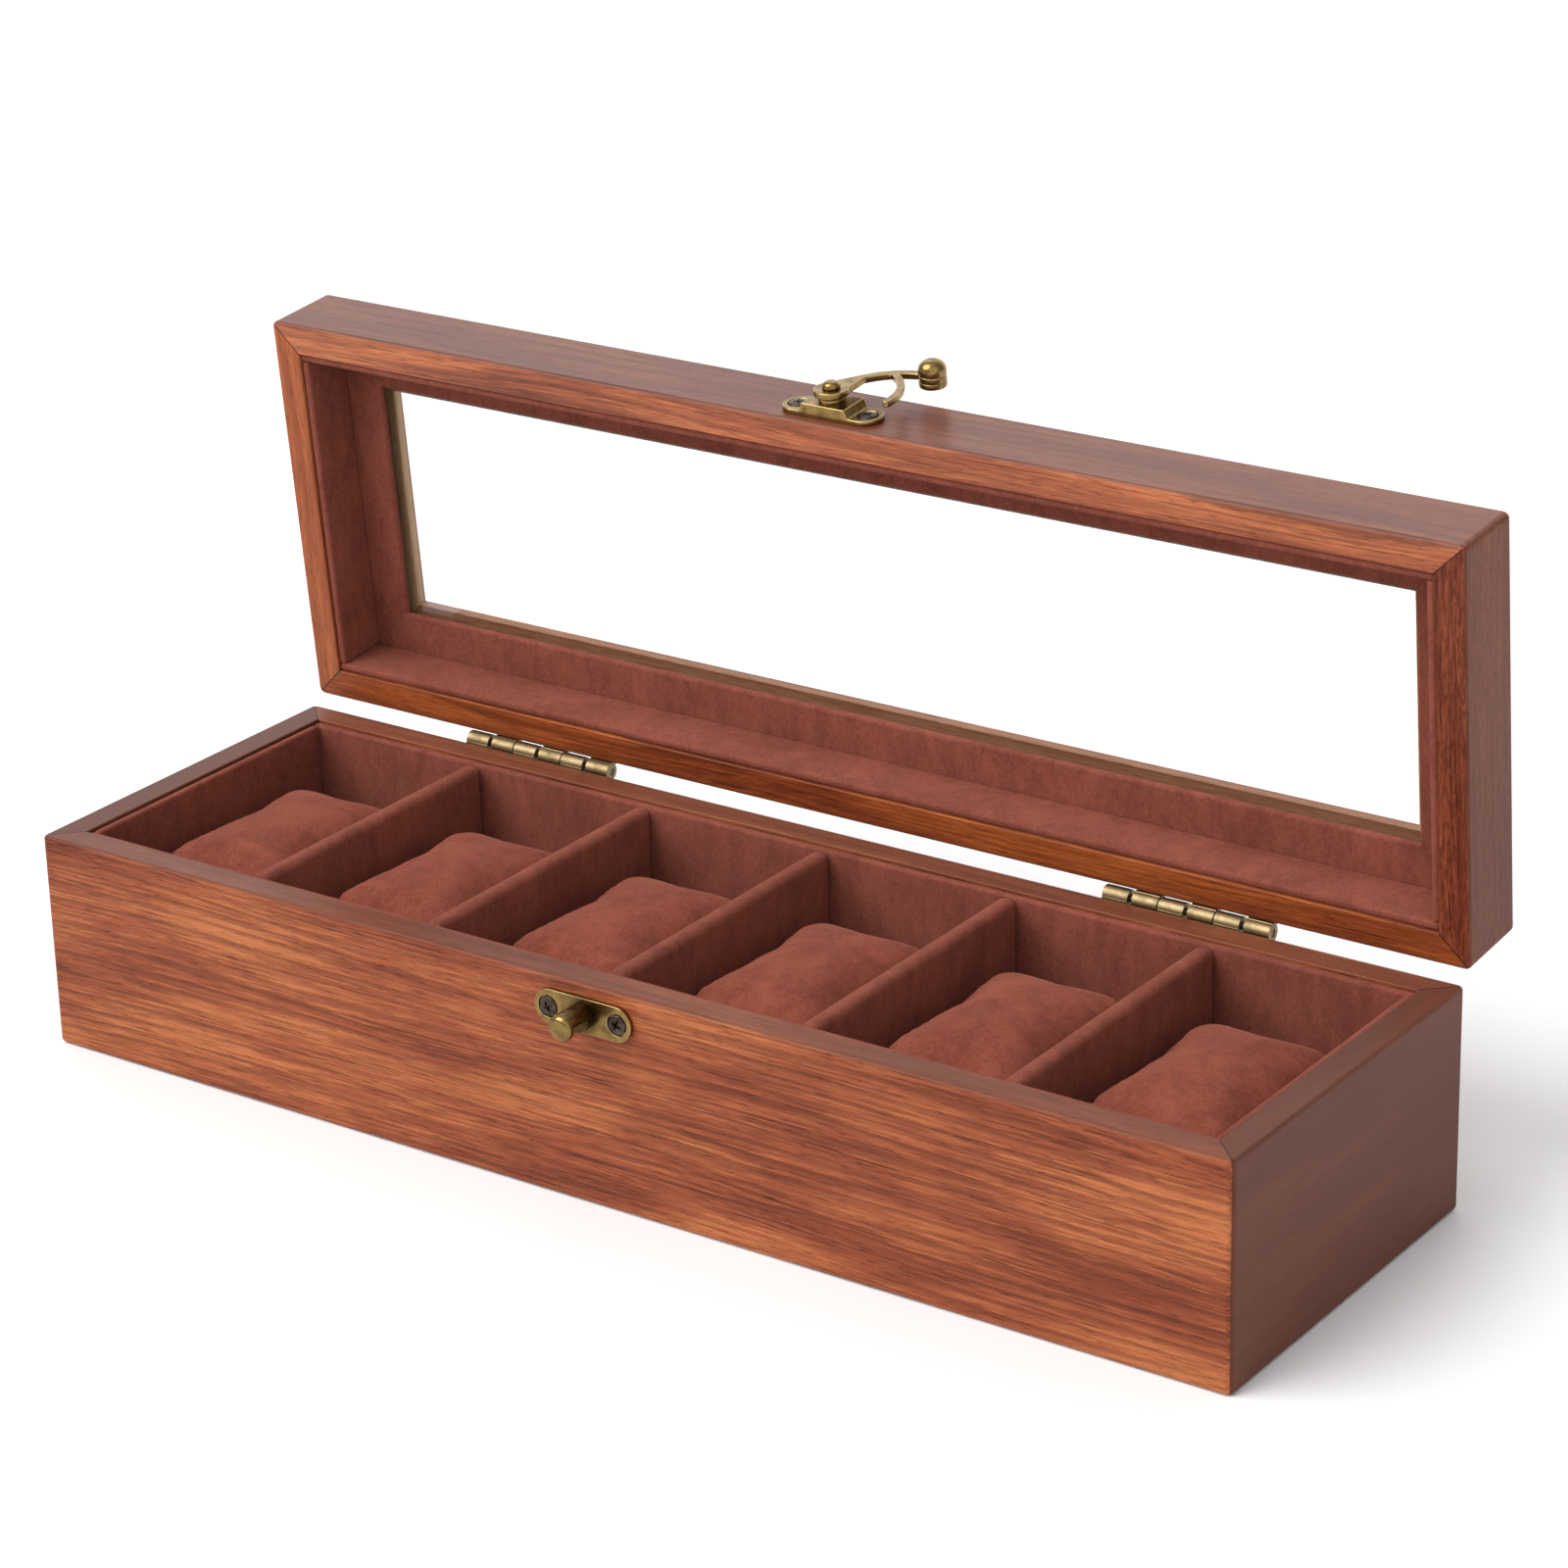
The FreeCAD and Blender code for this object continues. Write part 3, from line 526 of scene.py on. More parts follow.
@dataclass(frozen=True)
class Finish:
    """A surface finish that makes one material."""

    name: str

    def material(self) -> bpy.types.Material:
        """Material of this finish, made at the first call.

        Returns:
            The material.
        """
        found = bpy.data.materials.get(self.name)
        if found:
            return found
        material = bpy.data.materials.new(self.name)
        material.use_nodes = True
        material.node_tree.nodes.clear()
        tree = Tree(material.node_tree)
        shader = tree.add("ShaderNodeBsdfPrincipled")
        output = tree.add("ShaderNodeOutputMaterial")
        material.node_tree.links.new(shader.outputs[0], output.inputs["Surface"])
        self.dress(tree, shader)
        LOG.info("finish %s", self.name)
        return material

    def dress(self, tree: Tree, shader: bpy.types.Node) -> None:
        """Fill the shader's inputs.

        Args:
            tree: Builder of the material's tree.
            shader: Principled shader to feed.
        """
        raise NotImplementedError

    @staticmethod
    def group(tree: Tree, group: bpy.types.NodeTree, **inputs: object) -> bpy.types.Node:
        """Add a group node with its inputs.

        Args:
            tree: Builder of the material's tree.
            group: Group to use.
            inputs: Values or sockets by input name.

        Returns:
            The group node.
        """
        node = tree.tree.nodes.new("ShaderNodeGroup")
        node.node_tree = group
        for name, value in inputs.items():
            tree.feed(node, name, value)
        return node

    def place(self, tree: Tree) -> bpy.types.NodeSocket:
        """Coordinates that the pattern follows, in metres."""
        return tree.add("ShaderNodeTexCoord").outputs["Object"]

    def wear(self, tree: Tree, patches: object, strength: float) -> bpy.types.NodeSocket:
        """Wear of the eased edges, partly a painted highlight.

        Args:
            tree: Builder of the material's tree.
            patches: Socket that the wear varies with.
            strength: Most wear.

        Returns:
            Wear from 0 to strength.
        """
        edge = tree.add("ShaderNodeAttribute")
        edge.attribute_name = WORN_AND_HIGHLIT
        node = self.group(tree, ShaderGroups.rubbed(), Edge=edge.outputs["Fac"], Patches=patches, Strength=strength)
        return node.outputs["Wear"]

    @staticmethod
    def bump(tree: Tree, shader: bpy.types.Node, height: object, strength: float, distance: float) -> None:
        """Give the shader a bump.

        Args:
            tree: Builder of the material's tree.
            shader: Shader that takes the normal.
            height: Height socket.
            strength: Share of the bump.
            distance: Height of one unit, in metres.
        """
        node = tree.add("ShaderNodeBump", Strength=strength, Distance=distance, Height=height)
        tree.feed(shader, "Normal", node.outputs[0])


@dataclass(frozen=True)
class WoodFinish(Finish):
    """Satin lacquer over veneer, with the grain along one direction of the closed box."""

    grain: Grain = Grain.LENGTH
    on_lid: bool = False
    seed: float = 0.0
    vein: Colour = srgb(74, 31, 21)
    dark: Colour = srgb(118, 57, 35)
    middle: Colour = srgb(146, 76, 47)
    light: Colour = srgb(180, 107, 65)
    streaks: float = 0.8
    pores: float = 0.8
    flecks: float = 0.05
    mitred: bool = True
    backlit_raw_edge: bool = False
    lacquer: float = 0.05
    gloss: float = 0.13
    # Darker tone of the outer faces: painted shade on the ends and the lid's sides, a stain on the case's rim.
    shaded: Colour = srgb(104, 60, 44)
    grainy: float = 0.35
    # Raw wood round the window, painted paler as if lit from behind through the glass.
    backlit_bare: Colour = srgb(124, 78, 54)

    SEED_STEP: ClassVar[Point] = (311.0, 47.0, 83.0)
    # Eased edges are paler: part rubbed wear, part painted highlight.
    EDGE_WEAR_AND_HIGHLIGHT: ClassVar[float] = 0.14
    RUBBED_AND_HIGHLIT: ClassVar[Colour] = srgb(190, 124, 84)
    GLUE: ClassVar[Colour] = srgb(40, 20, 15)
    PALE: ClassVar[Colour] = srgb(255, 216, 176)
    COAT_ROUGHNESS: ClassVar[float] = 0.25
    RELIEF: ClassVar[Range] = (0.25, 0.0001)

    def dress(self, tree: Tree, shader: bpy.types.Node) -> None:
        """Fill the shader's inputs.

        Args:
            tree: Builder of the material's tree.
            shader: Principled shader to feed.
        """
        place = self.place(tree)
        parts = tree.add("ShaderNodeSeparateXYZ", Vector=place)
        order = (0, 1, 2) if self.grain is Grain.LENGTH else (1, 0, 2)
        along = tree.add("ShaderNodeCombineXYZ")
        for index, source in enumerate(order):
            tree.feed(along, index, parts.outputs[source])
        scaled = tree.vector("MULTIPLY", along.outputs[0], TO_MM)
        moved = tree.vector("ADD", scaled, tuple(self.seed * step for step in self.SEED_STEP))
        veneer = self.group(tree, ShaderGroups.wood(), Vector=moved, Vein=self.vein, Dark=self.dark, Middle=self.middle,
                            Light=self.light, Streaks=self.streaks, Pores=self.pores, Flecks=self.flecks)
        colour, rough = veneer.outputs["Color"], veneer.outputs["Roughness"]
        if self.mitred:
            joinery = self.group(tree, ShaderGroups.joinery(self.on_lid), Vector=place)
            # Outer faces take the darker tone: painted shade on the ends and the lid's sides, a stain on the case's
            # rim.
            shaded_and_stained = tree.mix(self.grainy, self.shaded, colour)
            colour = tree.mix(joinery.outputs["Stain"], colour, shaded_and_stained)
            # Eased edges are paler: rubbed wear and a painted highlight.
            colour = tree.mix(self.wear(tree, rough, self.EDGE_WEAR_AND_HIGHLIGHT), colour, self.RUBBED_AND_HIGHLIT)
            colour = tree.mix(joinery.outputs["Mitre"], colour, self.GLUE)
            # Round the window the raw wood is painted paler, as if lit from behind through the glass.
            if self.backlit_raw_edge:
                pale = tree.mix(0.1, self.backlit_bare, self.PALE)
                backlit_bare = tree.mix(tree.span(rough, 0.34, 0.44), self.backlit_bare, pale)
                colour = tree.mix(joinery.outputs["Bare"], colour, backlit_bare)
        tree.feed(shader, "Base Color", colour)
        tree.feed(shader, "Roughness", rough)
        tree.feed(shader, "Specular IOR Level", self.gloss)
        tree.feed(shader, "Coat Weight", self.lacquer)
        tree.feed(shader, "Coat Roughness", self.COAT_ROUGHNESS)
        self.bump(tree, shader, veneer.outputs["Height"], *self.RELIEF)

    def place(self, tree: Tree) -> bpy.types.NodeSocket:
        """Coordinates in the closed box.

        Args:
            tree: Builder of the material's tree.

        Returns:
            Vector socket, in metres.
        """
        place = super().place(tree)
        if not self.on_lid:
            return place
        turn = tree.add("ShaderNodeVectorRotate", Vector=place, Center=(0.0, SIZES.hinge_y, SIZES.hinge_z))
        turn.rotation_type = "X_AXIS"
        tree.feed(turn, "Angle", math.radians(SIZES.open_angle))
        return turn.outputs[0]


@dataclass(frozen=True)
class VelvetFinish(Finish):
    """Short-pile velvet."""

    dark: Colour = srgb(110, 58, 47)
    light: Colour = srgb(142, 79, 64)
    depth: float = 0.0003

    RELIEF: ClassVar[float] = 0.6
    LOOK: ClassVar[Look] = {
        "Roughness": 0.92, "Specular IOR Level": 0.12, "Sheen Weight": 0.3, "Sheen Roughness": 0.4,
        "Sheen Tint": srgb(226, 160, 136),
    }

    def dress(self, tree: Tree, shader: bpy.types.Node) -> None:
        """Fill the shader's inputs.

        Args:
            tree: Builder of the material's tree.
            shader: Principled shader to feed.
        """
        scaled = tree.vector("MULTIPLY", self.place(tree), TO_MM)
        pile = self.group(tree, ShaderGroups.pile(), Vector=scaled, Dark=self.dark, Light=self.light)
        tree.feed(shader, "Base Color", pile.outputs["Color"])
        for name, value in self.LOOK.items():
            tree.feed(shader, name, value)
        self.bump(tree, shader, pile.outputs["Height"], self.RELIEF, self.depth)


@dataclass(frozen=True)
class MetalFinish(Finish):
    """Aged plated metal."""

    dark: Colour = srgb(78, 60, 34)
    bright: Colour = srgb(152, 124, 74)
    # Colour of the eased edges: rubbed bright metal and a painted highlight.
    edge: Colour = srgb(214, 190, 140)
    tarnish: float = 0.46
    dullness: float = 0.0
    post_shadow: bool = False

    EDGE_WEAR_AND_HIGHLIGHT: ClassVar[float] = 0.85
    RELIEF: ClassVar[Range] = (0.2, 0.00006)
    # Painted shadow round the catch post: its colour, its reach round and along the post, and its strength.
    POST_SHADOW: ClassVar[Colour] = srgb(44, 33, 19)
    POST_SHADOW_ROUND: ClassVar[Range] = (0.0025, 0.0065)
    POST_SHADOW_ALONG: ClassVar[Range] = (0.0085, 0.0035)
    MOST_POST_SHADOW: ClassVar[float] = 0.8

    def dress(self, tree: Tree, shader: bpy.types.Node) -> None:
        """Fill the shader's inputs.

        Args:
            tree: Builder of the material's tree.
            shader: Principled shader to feed.
        """
        place = self.place(tree)
        aged = self.group(tree, ShaderGroups.aged(), Vector=tree.vector("MULTIPLY", place, TO_MM), Dark=self.dark,
                          Bright=self.bright, Tarnish=self.tarnish)
        # Eased edges are paler: rubbed wear and a painted highlight.
        rubbed = self.wear(tree, aged.outputs["Roughness"], self.EDGE_WEAR_AND_HIGHLIGHT)
        colour = tree.mix(rubbed, aged.outputs["Color"], self.edge)
        # Painted shadow darkens the plate round the post's foot and in its notch.
        if self.post_shadow:
            colour = tree.mix(self.post_shadow_mask(tree, place), colour, self.POST_SHADOW)
        tree.feed(shader, "Base Color", colour)
        tree.feed(shader, "Roughness", tree.math("ADD", aged.outputs["Roughness"], self.dullness))
        tree.feed(shader, "Metallic", 1.0)
        self.bump(tree, shader, aged.outputs["Height"], *self.RELIEF)

    def post_shadow_mask(self, tree: Tree, place: bpy.types.NodeSocket) -> bpy.types.NodeSocket:
        """Painted shadow round the foot of the catch post and in its notch.

        Args:
            tree: Builder of the material's tree.
            place: Object coordinates.

        Returns:
            Mask from 0 to 1.
        """
        parts = tree.add("ShaderNodeSeparateXYZ", Vector=place)
        flat = tree.add("ShaderNodeCombineXYZ", X=parts.outputs[0], Z=parts.outputs[2]).outputs[0]
        node = tree.tree.nodes.new("ShaderNodeVectorMath")
        node.operation = "DISTANCE"
        tree.feed(node, 0, flat)
        tree.feed(node, 1, (SIZES.hardware_x, 0.0, SIZES.catch_z))
        near = tree.span(node.outputs["Value"], *self.POST_SHADOW_ROUND, 1.0, 0.0)
        tip, foot = (-SIZES.depth / 2 - reach for reach in self.POST_SHADOW_ALONG)
        return tree.math("MULTIPLY", near, tree.span(parts.outputs[1], tip, foot, 0.0, self.MOST_POST_SHADOW))


@dataclass(frozen=True)
class GlassFinish(Finish):
    """Clear window glass with a faint smear."""

    tint: Colour = (0.975, 0.99, 0.985, 1.0)

    SMEAR: ClassVar[Layer] = Layer((14.0, 30.0, 22.0), 3.0, 0.55, 0.5)
    MOST_SMEAR: ClassVar[float] = 0.025
    INDEX: ClassVar[float] = 1.45

    def dress(self, tree: Tree, shader: bpy.types.Node) -> None:
        """Fill the shader's inputs.

        Args:
            tree: Builder of the material's tree.
            shader: Principled shader to feed.
        """
        smear = tree.noise(self.place(tree), self.SMEAR)
        tree.feed(shader, "Base Color", self.tint)
        tree.feed(shader, "Roughness", tree.span(smear, 0.45, 0.8, 0.0, self.MOST_SMEAR))
        tree.feed(shader, "Transmission Weight", 1.0)
        tree.feed(shader, "IOR", self.INDEX)


@dataclass(frozen=True)
class Palette:
    """Finishes used on the box."""

    velvet: VelvetFinish = VelvetFinish("lining_velvet")
    cushion: VelvetFinish = VelvetFinish("cushion_velvet", dark=srgb(110, 55, 43), light=srgb(144, 77, 61))
    felt: VelvetFinish = VelvetFinish("foot_felt", dark=srgb(50, 34, 28), light=srgb(74, 50, 42), depth=0.0004)
    board: WoodFinish = WoodFinish(
        "floor_board", vein=srgb(84, 60, 38), dark=srgb(112, 82, 54), middle=srgb(132, 100, 68),
        light=srgb(156, 122, 86), streaks=0.4, mitred=False,
    )
    brass: MetalFinish = MetalFinish("latch_brass", dullness=-0.07)
    # The catch's brass carries the painted shadow round its post.
    catch: MetalFinish = MetalFinish("catch_brass", dullness=-0.07, post_shadow=True)
    barrel: MetalFinish = MetalFinish(
        "hinge_brass", dark=srgb(104, 88, 62), bright=srgb(152, 132, 98), edge=srgb(170, 150, 114), tarnish=0.44,
        dullness=0.14,
    )
    screw: MetalFinish = MetalFinish(
        "dark_bronze", dark=srgb(44, 36, 31), bright=srgb(104, 89, 78), edge=srgb(120, 104, 92), tarnish=0.54,
    )
    pin: MetalFinish = MetalFinish("hinge_pin", dark=srgb(60, 54, 46), bright=srgb(128, 118, 100), tarnish=0.5)
    glass: GlassFinish = GlassFinish("window_glass")


PALETTE = Palette()


def put_on(obj: bpy.types.Object, finish: Finish) -> None:
    """Give an object one finish.

    Args:
        obj: Object to dress.
        finish: Finish to use.
    """
    obj.data.materials.clear()
    obj.data.materials.append(finish.material())


def new_object(name: str, data: bpy.types.ID) -> bpy.types.Object:
    """Link data to the scene as an object at the origin.

    Args:
        name: Object name.
        data: Mesh, light or camera to show.

    Returns:
        The object.
    """
    obj = bpy.data.objects.new(name, data)
    bpy.context.scene.collection.objects.link(obj)
    return obj


def new_mesh(name: str, shape: bmesh.types.BMesh) -> bpy.types.Mesh:
    """Mesh of a worked shape, which is freed.

    Args:
        name: Mesh name.
        shape: Shape to take over.

    Returns:
        The mesh.
    """
    mesh = bpy.data.meshes.new(name)
    shape.to_mesh(mesh)
    shape.free()
    return mesh


def baked(obj: bpy.types.Object) -> bpy.types.Object:
    """Apply an object's modifiers to its mesh.

    Args:
        obj: Object with modifiers.

    Returns:
        The same object, without modifiers.
    """
    graph = bpy.context.evaluated_depsgraph_get()
    mesh = bpy.data.meshes.new_from_object(obj.evaluated_get(graph))
    obj.modifiers.clear()
    old = obj.data
    obj.data = mesh
    mesh.name = obj.name
    bpy.data.meshes.remove(old)
    return obj


def smooth(mesh: bpy.types.Mesh, angle: float = 35.0) -> None:
    """Shade a mesh smooth, with sharp edges past an angle.

    Args:
        mesh: Mesh to shade.
        angle: Angle in degrees.
    """
    mesh.shade_smooth()
    mesh.set_sharp_from_angle(angle=math.radians(angle))


@dataclass
class RoundedSolid:
    """Block of quads with round edges and an even grid on its faces."""

    low: Vector
    high: Vector
    radius: float
    step: float
    turns: int = 4
    crown: float = 0.0

    def stops(self, axis: int) -> List[float]:
        """Grid lines along one axis, close together at the rounds.

        Args:
            axis: Axis number.

        Returns:
            Positions from the low side to the high side.
        """
        start, end = self.low[axis] + self.radius, self.high[axis] - self.radius
        bend = [self.radius * math.tan(math.radians(45.0) * turn / self.turns) for turn in range(self.turns, 0, -1)]
        count = max(1, round((end - start) / self.step))
        flat = [start + (end - start) * part / count for part in range(count + 1)]
        return [start - offset for offset in bend] + flat + [end + offset for offset in reversed(bend)]

    def shaped(self, point: Vector) -> Vector:
        """Point of the plain block moved onto the rounded, crowned block.

        Args:
            point: Point on the block.

        Returns:
            Point on the solid.
        """
        core = Vector(min(max(point[k], self.low[k] + self.radius), self.high[k] - self.radius) for k in range(3))
        out = point - core
        place = core + out.normalized() * self.radius if out.length > TINY else point
        if self.crown:
            middle = (self.low + self.high) / 2
            half = (self.high - self.low) / 2
            share = [(place[k] - middle[k]) / half[k] for k in range(3)]
            for axis in range(3):
                others = [share[k] for k in range(3) if k != axis]
                swell = (1 - others[0] ** 2) * (1 - others[1] ** 2)
                place[axis] += self.crown * swell * share[axis]
        return place

    def mesh(self, name: str) -> bpy.types.Mesh:
        """Mesh of the solid.

        Args:
            name: Mesh name.

        Returns:
            The mesh.
        """
        lines = [self.stops(axis) for axis in range(3)]
        shape = bmesh.new()
        found: Dict[Tuple[int, int, int], bmesh.types.BMVert] = {}

        def corner(index: Tuple[int, int, int]) -> bmesh.types.BMVert:
            """Vertex at a crossing of the grid, made once."""
            if index not in found:
                point = Vector(lines[axis][index[axis]] for axis in range(3))
                found[index] = shape.verts.new(self.shaped(point))
            return found[index]

        for axis in range(3):
            first, second = (axis + 1) % 3, (axis + 2) % 3
            for level in (0, len(lines[axis]) - 1):
                for i in range(len(lines[first]) - 1):
                    for j in range(len(lines[second]) - 1):
                        loop = []
                        for di, dj in ((0, 0), (1, 0), (1, 1), (0, 1)):
                            index = [0, 0, 0]
                            index[axis], index[first], index[second] = level, i + di, j + dj
                            loop.append(corner(tuple(index)))
                        shape.faces.new(loop if level else loop[::-1])
        mesh = new_mesh(name, shape)
        mesh.shade_smooth()
        return mesh


@dataclass
class MitredStrip:
    """Strip of a mitred frame: a section carried between two corners of the box."""

    side: Side
    section: Sequence[Tuple[float, float]]
    rows: int = 24

    SHADE: ClassVar[float] = 40.0
    CORNERS: ClassVar[Dict[Side, Sequence[Tuple[int, int]]]] = {
        Side.FRONT: ((-1, -1), (1, -1)),
        Side.RIGHT: ((1, -1), (1, 1)),
        Side.BACK: ((1, 1), (-1, 1)),
        Side.LEFT: ((-1, 1), (-1, -1)),
    }

    def mesh(self, name: str, place: Matrix) -> bpy.types.Mesh:
        """Mesh of the strip.

        Args:
            name: Mesh name.
            place: Matrix that carries the closed box to where the strip rests.

        Returns:
            The mesh.
        """
        shape = bmesh.new()
        rings = []
        for row in range(self.rows + 1):
            ring = []
            for inset, height in self.section:
                x, y = SIZES.length / 2 - inset, SIZES.depth / 2 - inset
                first, last = (Vector((sign[0] * x, sign[1] * y, height)) for sign in self.CORNERS[self.side])
                ring.append(shape.verts.new(place @ first.lerp(last, row / self.rows)))
            rings.append(ring)
        count = len(self.section)
        for before, after in zip(rings, rings[1:]):
            for index in range(count):
                other = (index + 1) % count
                shape.faces.new((before[index], before[other], after[other], after[index]))
        shape.faces.new(rings[0][::-1])
        shape.faces.new(rings[-1])
        bmesh.ops.recalc_face_normals(shape, faces=shape.faces)
        mesh = new_mesh(name, shape)
        smooth(mesh, self.SHADE)
        return mesh


def arc(centre: Tuple[float, float], radius: float, start: float, end: float, count: int) -> List[Tuple[float, float]]:
    """Points on an arc.

    Args:
        centre: Centre of the arc.
        radius: Its radius.
        start: First angle in degrees.
        end: Last angle in degrees.
        count: Number of spans.

    Returns:
        Points from start to end.
    """
    angles = [math.radians(start + (end - start) * step / count) for step in range(count + 1)]
    return [(centre[0] + radius * math.cos(angle), centre[1] + radius * math.sin(angle)) for angle in angles]


def lathe(name: str, profile: Sequence[Tuple[float, float]], segments: int = 48) -> bpy.types.Mesh:
    """Turned mesh about the Z axis.

    Args:
        name: Mesh name.
        profile: Radius and height from the bottom to the top; both ends on the axis.
        segments: Number of sides.

    Returns:
        The mesh.
    """
    shape = bmesh.new()
    rings: List[List[bmesh.types.BMVert]] = []
    for radius, height in profile:
        if radius < ON_AXIS:
            rings.append([shape.verts.new((0.0, 0.0, height))])
            continue
        angles = [2 * math.pi * step / segments for step in range(segments)]
        rings.append([shape.verts.new((radius * math.cos(a), radius * math.sin(a), height)) for a in angles])
    for low, high in zip(rings, rings[1:]):
        for step in range(segments):
            after = (step + 1) % segments
            if len(low) == 1:
                shape.faces.new((low[0], high[after], high[step]))
            elif len(high) == 1:
                shape.faces.new((low[step], low[after], high[0]))
            else:
                shape.faces.new((low[step], low[after], high[after], high[step]))
    bmesh.ops.recalc_face_normals(shape, faces=shape.faces)
    mesh = new_mesh(name, shape)
    smooth(mesh)
    return mesh


@dataclass
class EasedPart:
    """Solid of the box with its edges eased, in place of its node."""

    node: str
    host: Host
    slot: str
    finish: Finish
    width: float
    segments: int = 2
    shortest: float = 0.0
    angle: float = 38.0

    MERGE: ClassVar[float] = 1e-6
    FLAT: ClassVar[float] = 0.4
    SHADE: ClassVar[float] = 32.0

    def mesh(self) -> bpy.types.Mesh:
        """Node's solid with its faces joined and its edges rounded and marked for wear and a painted highlight.

        Returns:
            The mesh.
        """
        shape = bmesh.new()
        shape.from_mesh(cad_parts[self.node].data)
        bmesh.ops.remove_doubles(shape, verts=shape.verts, dist=self.MERGE)
        bmesh.ops.dissolve_limit(shape, angle_limit=math.radians(self.FLAT), verts=shape.verts, edges=shape.edges)
        worn = shape.faces.layers.float.new(WORN_AND_HIGHLIT)
        limit = math.radians(self.angle)
        edges = [
            edge for edge in shape.edges
            if edge.is_manifold and edge.calc_face_angle(0.0) > limit and edge.calc_length() > self.shortest
        ]
        strip = bmesh.ops.bevel(shape, geom=edges, offset=self.width, offset_type="OFFSET", segments=self.segments,
                                profile=0.5, affect="EDGES", clamp_overlap=True)
        for face in strip["faces"]:
            face[worn] = 1.0
        bmesh.ops.recalc_face_normals(shape, faces=shape.faces)
        mesh = new_mesh(self.node + "_eased", shape)
        smooth(mesh, self.SHADE)
        return mesh

    def build(self) -> bpy.types.Object:
        """Make the piece.

        Returns:
            The piece.
        """
        obj = new_object(self.node + "_eased", self.mesh())
        # Large flat faces keep their own normal past their bores.
        flat = obj.modifiers.new("flat", "WEIGHTED_NORMAL")
        flat.mode = "FACE_AREA"
        flat.weight = 100
        flat.keep_sharp = True
        baked(obj)
        put_on(obj, self.finish)
        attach(obj, self.host.value)
        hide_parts(self.node)
        LOG.info("%s %s", self.slot, self.node)
        return obj


@dataclass
class WoodWork:
    """Case walls, lid rails and window frame: mitred boards with eased edges and veneer.

    Edges no longer than sharp_up_to, such as the mitred corners, aren't eased.
    """

    edge: float = 0.0003
    sharp_up_to: float = 0.054
    first_seed: float = 1.0
    seed_step: float = 0.37

    NAMES: ClassVar[Sequence[str]] = ("base_%s_wall", "lid_%s_rail", "lid_frame_%s")
    # The case's end walls take darker, calmer tones: painted shade.
    CASE_END_SHADED: ClassVar[Look] = dict(
        vein=srgb(62, 34, 26), dark=srgb(84, 46, 34), middle=srgb(96, 54, 40), light=srgb(112, 64, 46),
        streaks=0.3, pores=0.25, lacquer=0.0, gloss=0.12, grainy=0.6,
    )
    CASE_TONES: ClassVar[Dict[Side, Look]] = {
        Side.FRONT: {}, Side.BACK: {}, Side.LEFT: CASE_END_SHADED, Side.RIGHT: CASE_END_SHADED,
    }
    LID_LONG: ClassVar[Look] = dict(shaded=srgb(84, 40, 28), grainy=0.22)
    LID_END: ClassVar[Look] = dict(shaded=srgb(98, 58, 42), backlit_bare=srgb(172, 138, 102))
    LID_TONES: ClassVar[Dict[Side, Look]] = {
        Side.FRONT: dict(
            LID_LONG, dark=srgb(128, 66, 42), middle=srgb(160, 86, 54), light=srgb(194, 114, 70), lacquer=0.2,
            gloss=0.22,
        ),
        Side.BACK: dict(
            LID_LONG, dark=srgb(108, 50, 26), middle=srgb(138, 68, 34), light=srgb(168, 90, 44), lacquer=0.1,
        ),
        Side.LEFT: dict(
            LID_END, dark=srgb(140, 72, 42), middle=srgb(162, 88, 52), light=srgb(182, 104, 62), streaks=0.35,
            flecks=0.1,
        ),
        # The right rail's darker tones are painted shade.
        Side.RIGHT: dict(
            LID_END, dark=srgb(110, 52, 34), middle=srgb(134, 68, 44), light=srgb(162, 90, 58), flecks=0.6, gloss=0.1,
            grainy=0.45,
        ),
    }

    def finish_for(self, node: str, side: Side, seed: float) -> WoodFinish:
        """Veneer of one board.

        Args:
            node: Board's node name.
            side: Side of the box that it is on.
            seed: Offset into the veneer.

        Returns:
            The finish.
        """
        on_lid = node.startswith("lid")
        grain = Grain.DEPTH if side in (Side.LEFT, Side.RIGHT) else Grain.LENGTH
        tone = (self.LID_TONES if on_lid else self.CASE_TONES)[side]
        return WoodFinish("veneer_" + node, grain, on_lid, seed, backlit_raw_edge="frame" in node, **tone)

    def build(self) -> None:
        """Make every wooden board."""
        for index, (pattern, side) in enumerate((p, s) for p in self.NAMES for s in Side):
            node = pattern % side.value
            host = Host.LID if node.startswith("lid") else Host.BASE
            finish = self.finish_for(node, side, self.first_seed + self.seed_step * index)
            EasedPart(node, host, "wood", finish, self.edge, 3, self.sharp_up_to).build()
        put_on(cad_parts["base_floor"], PALETTE.board)
        put_on(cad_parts["base_felt"], PALETTE.felt)


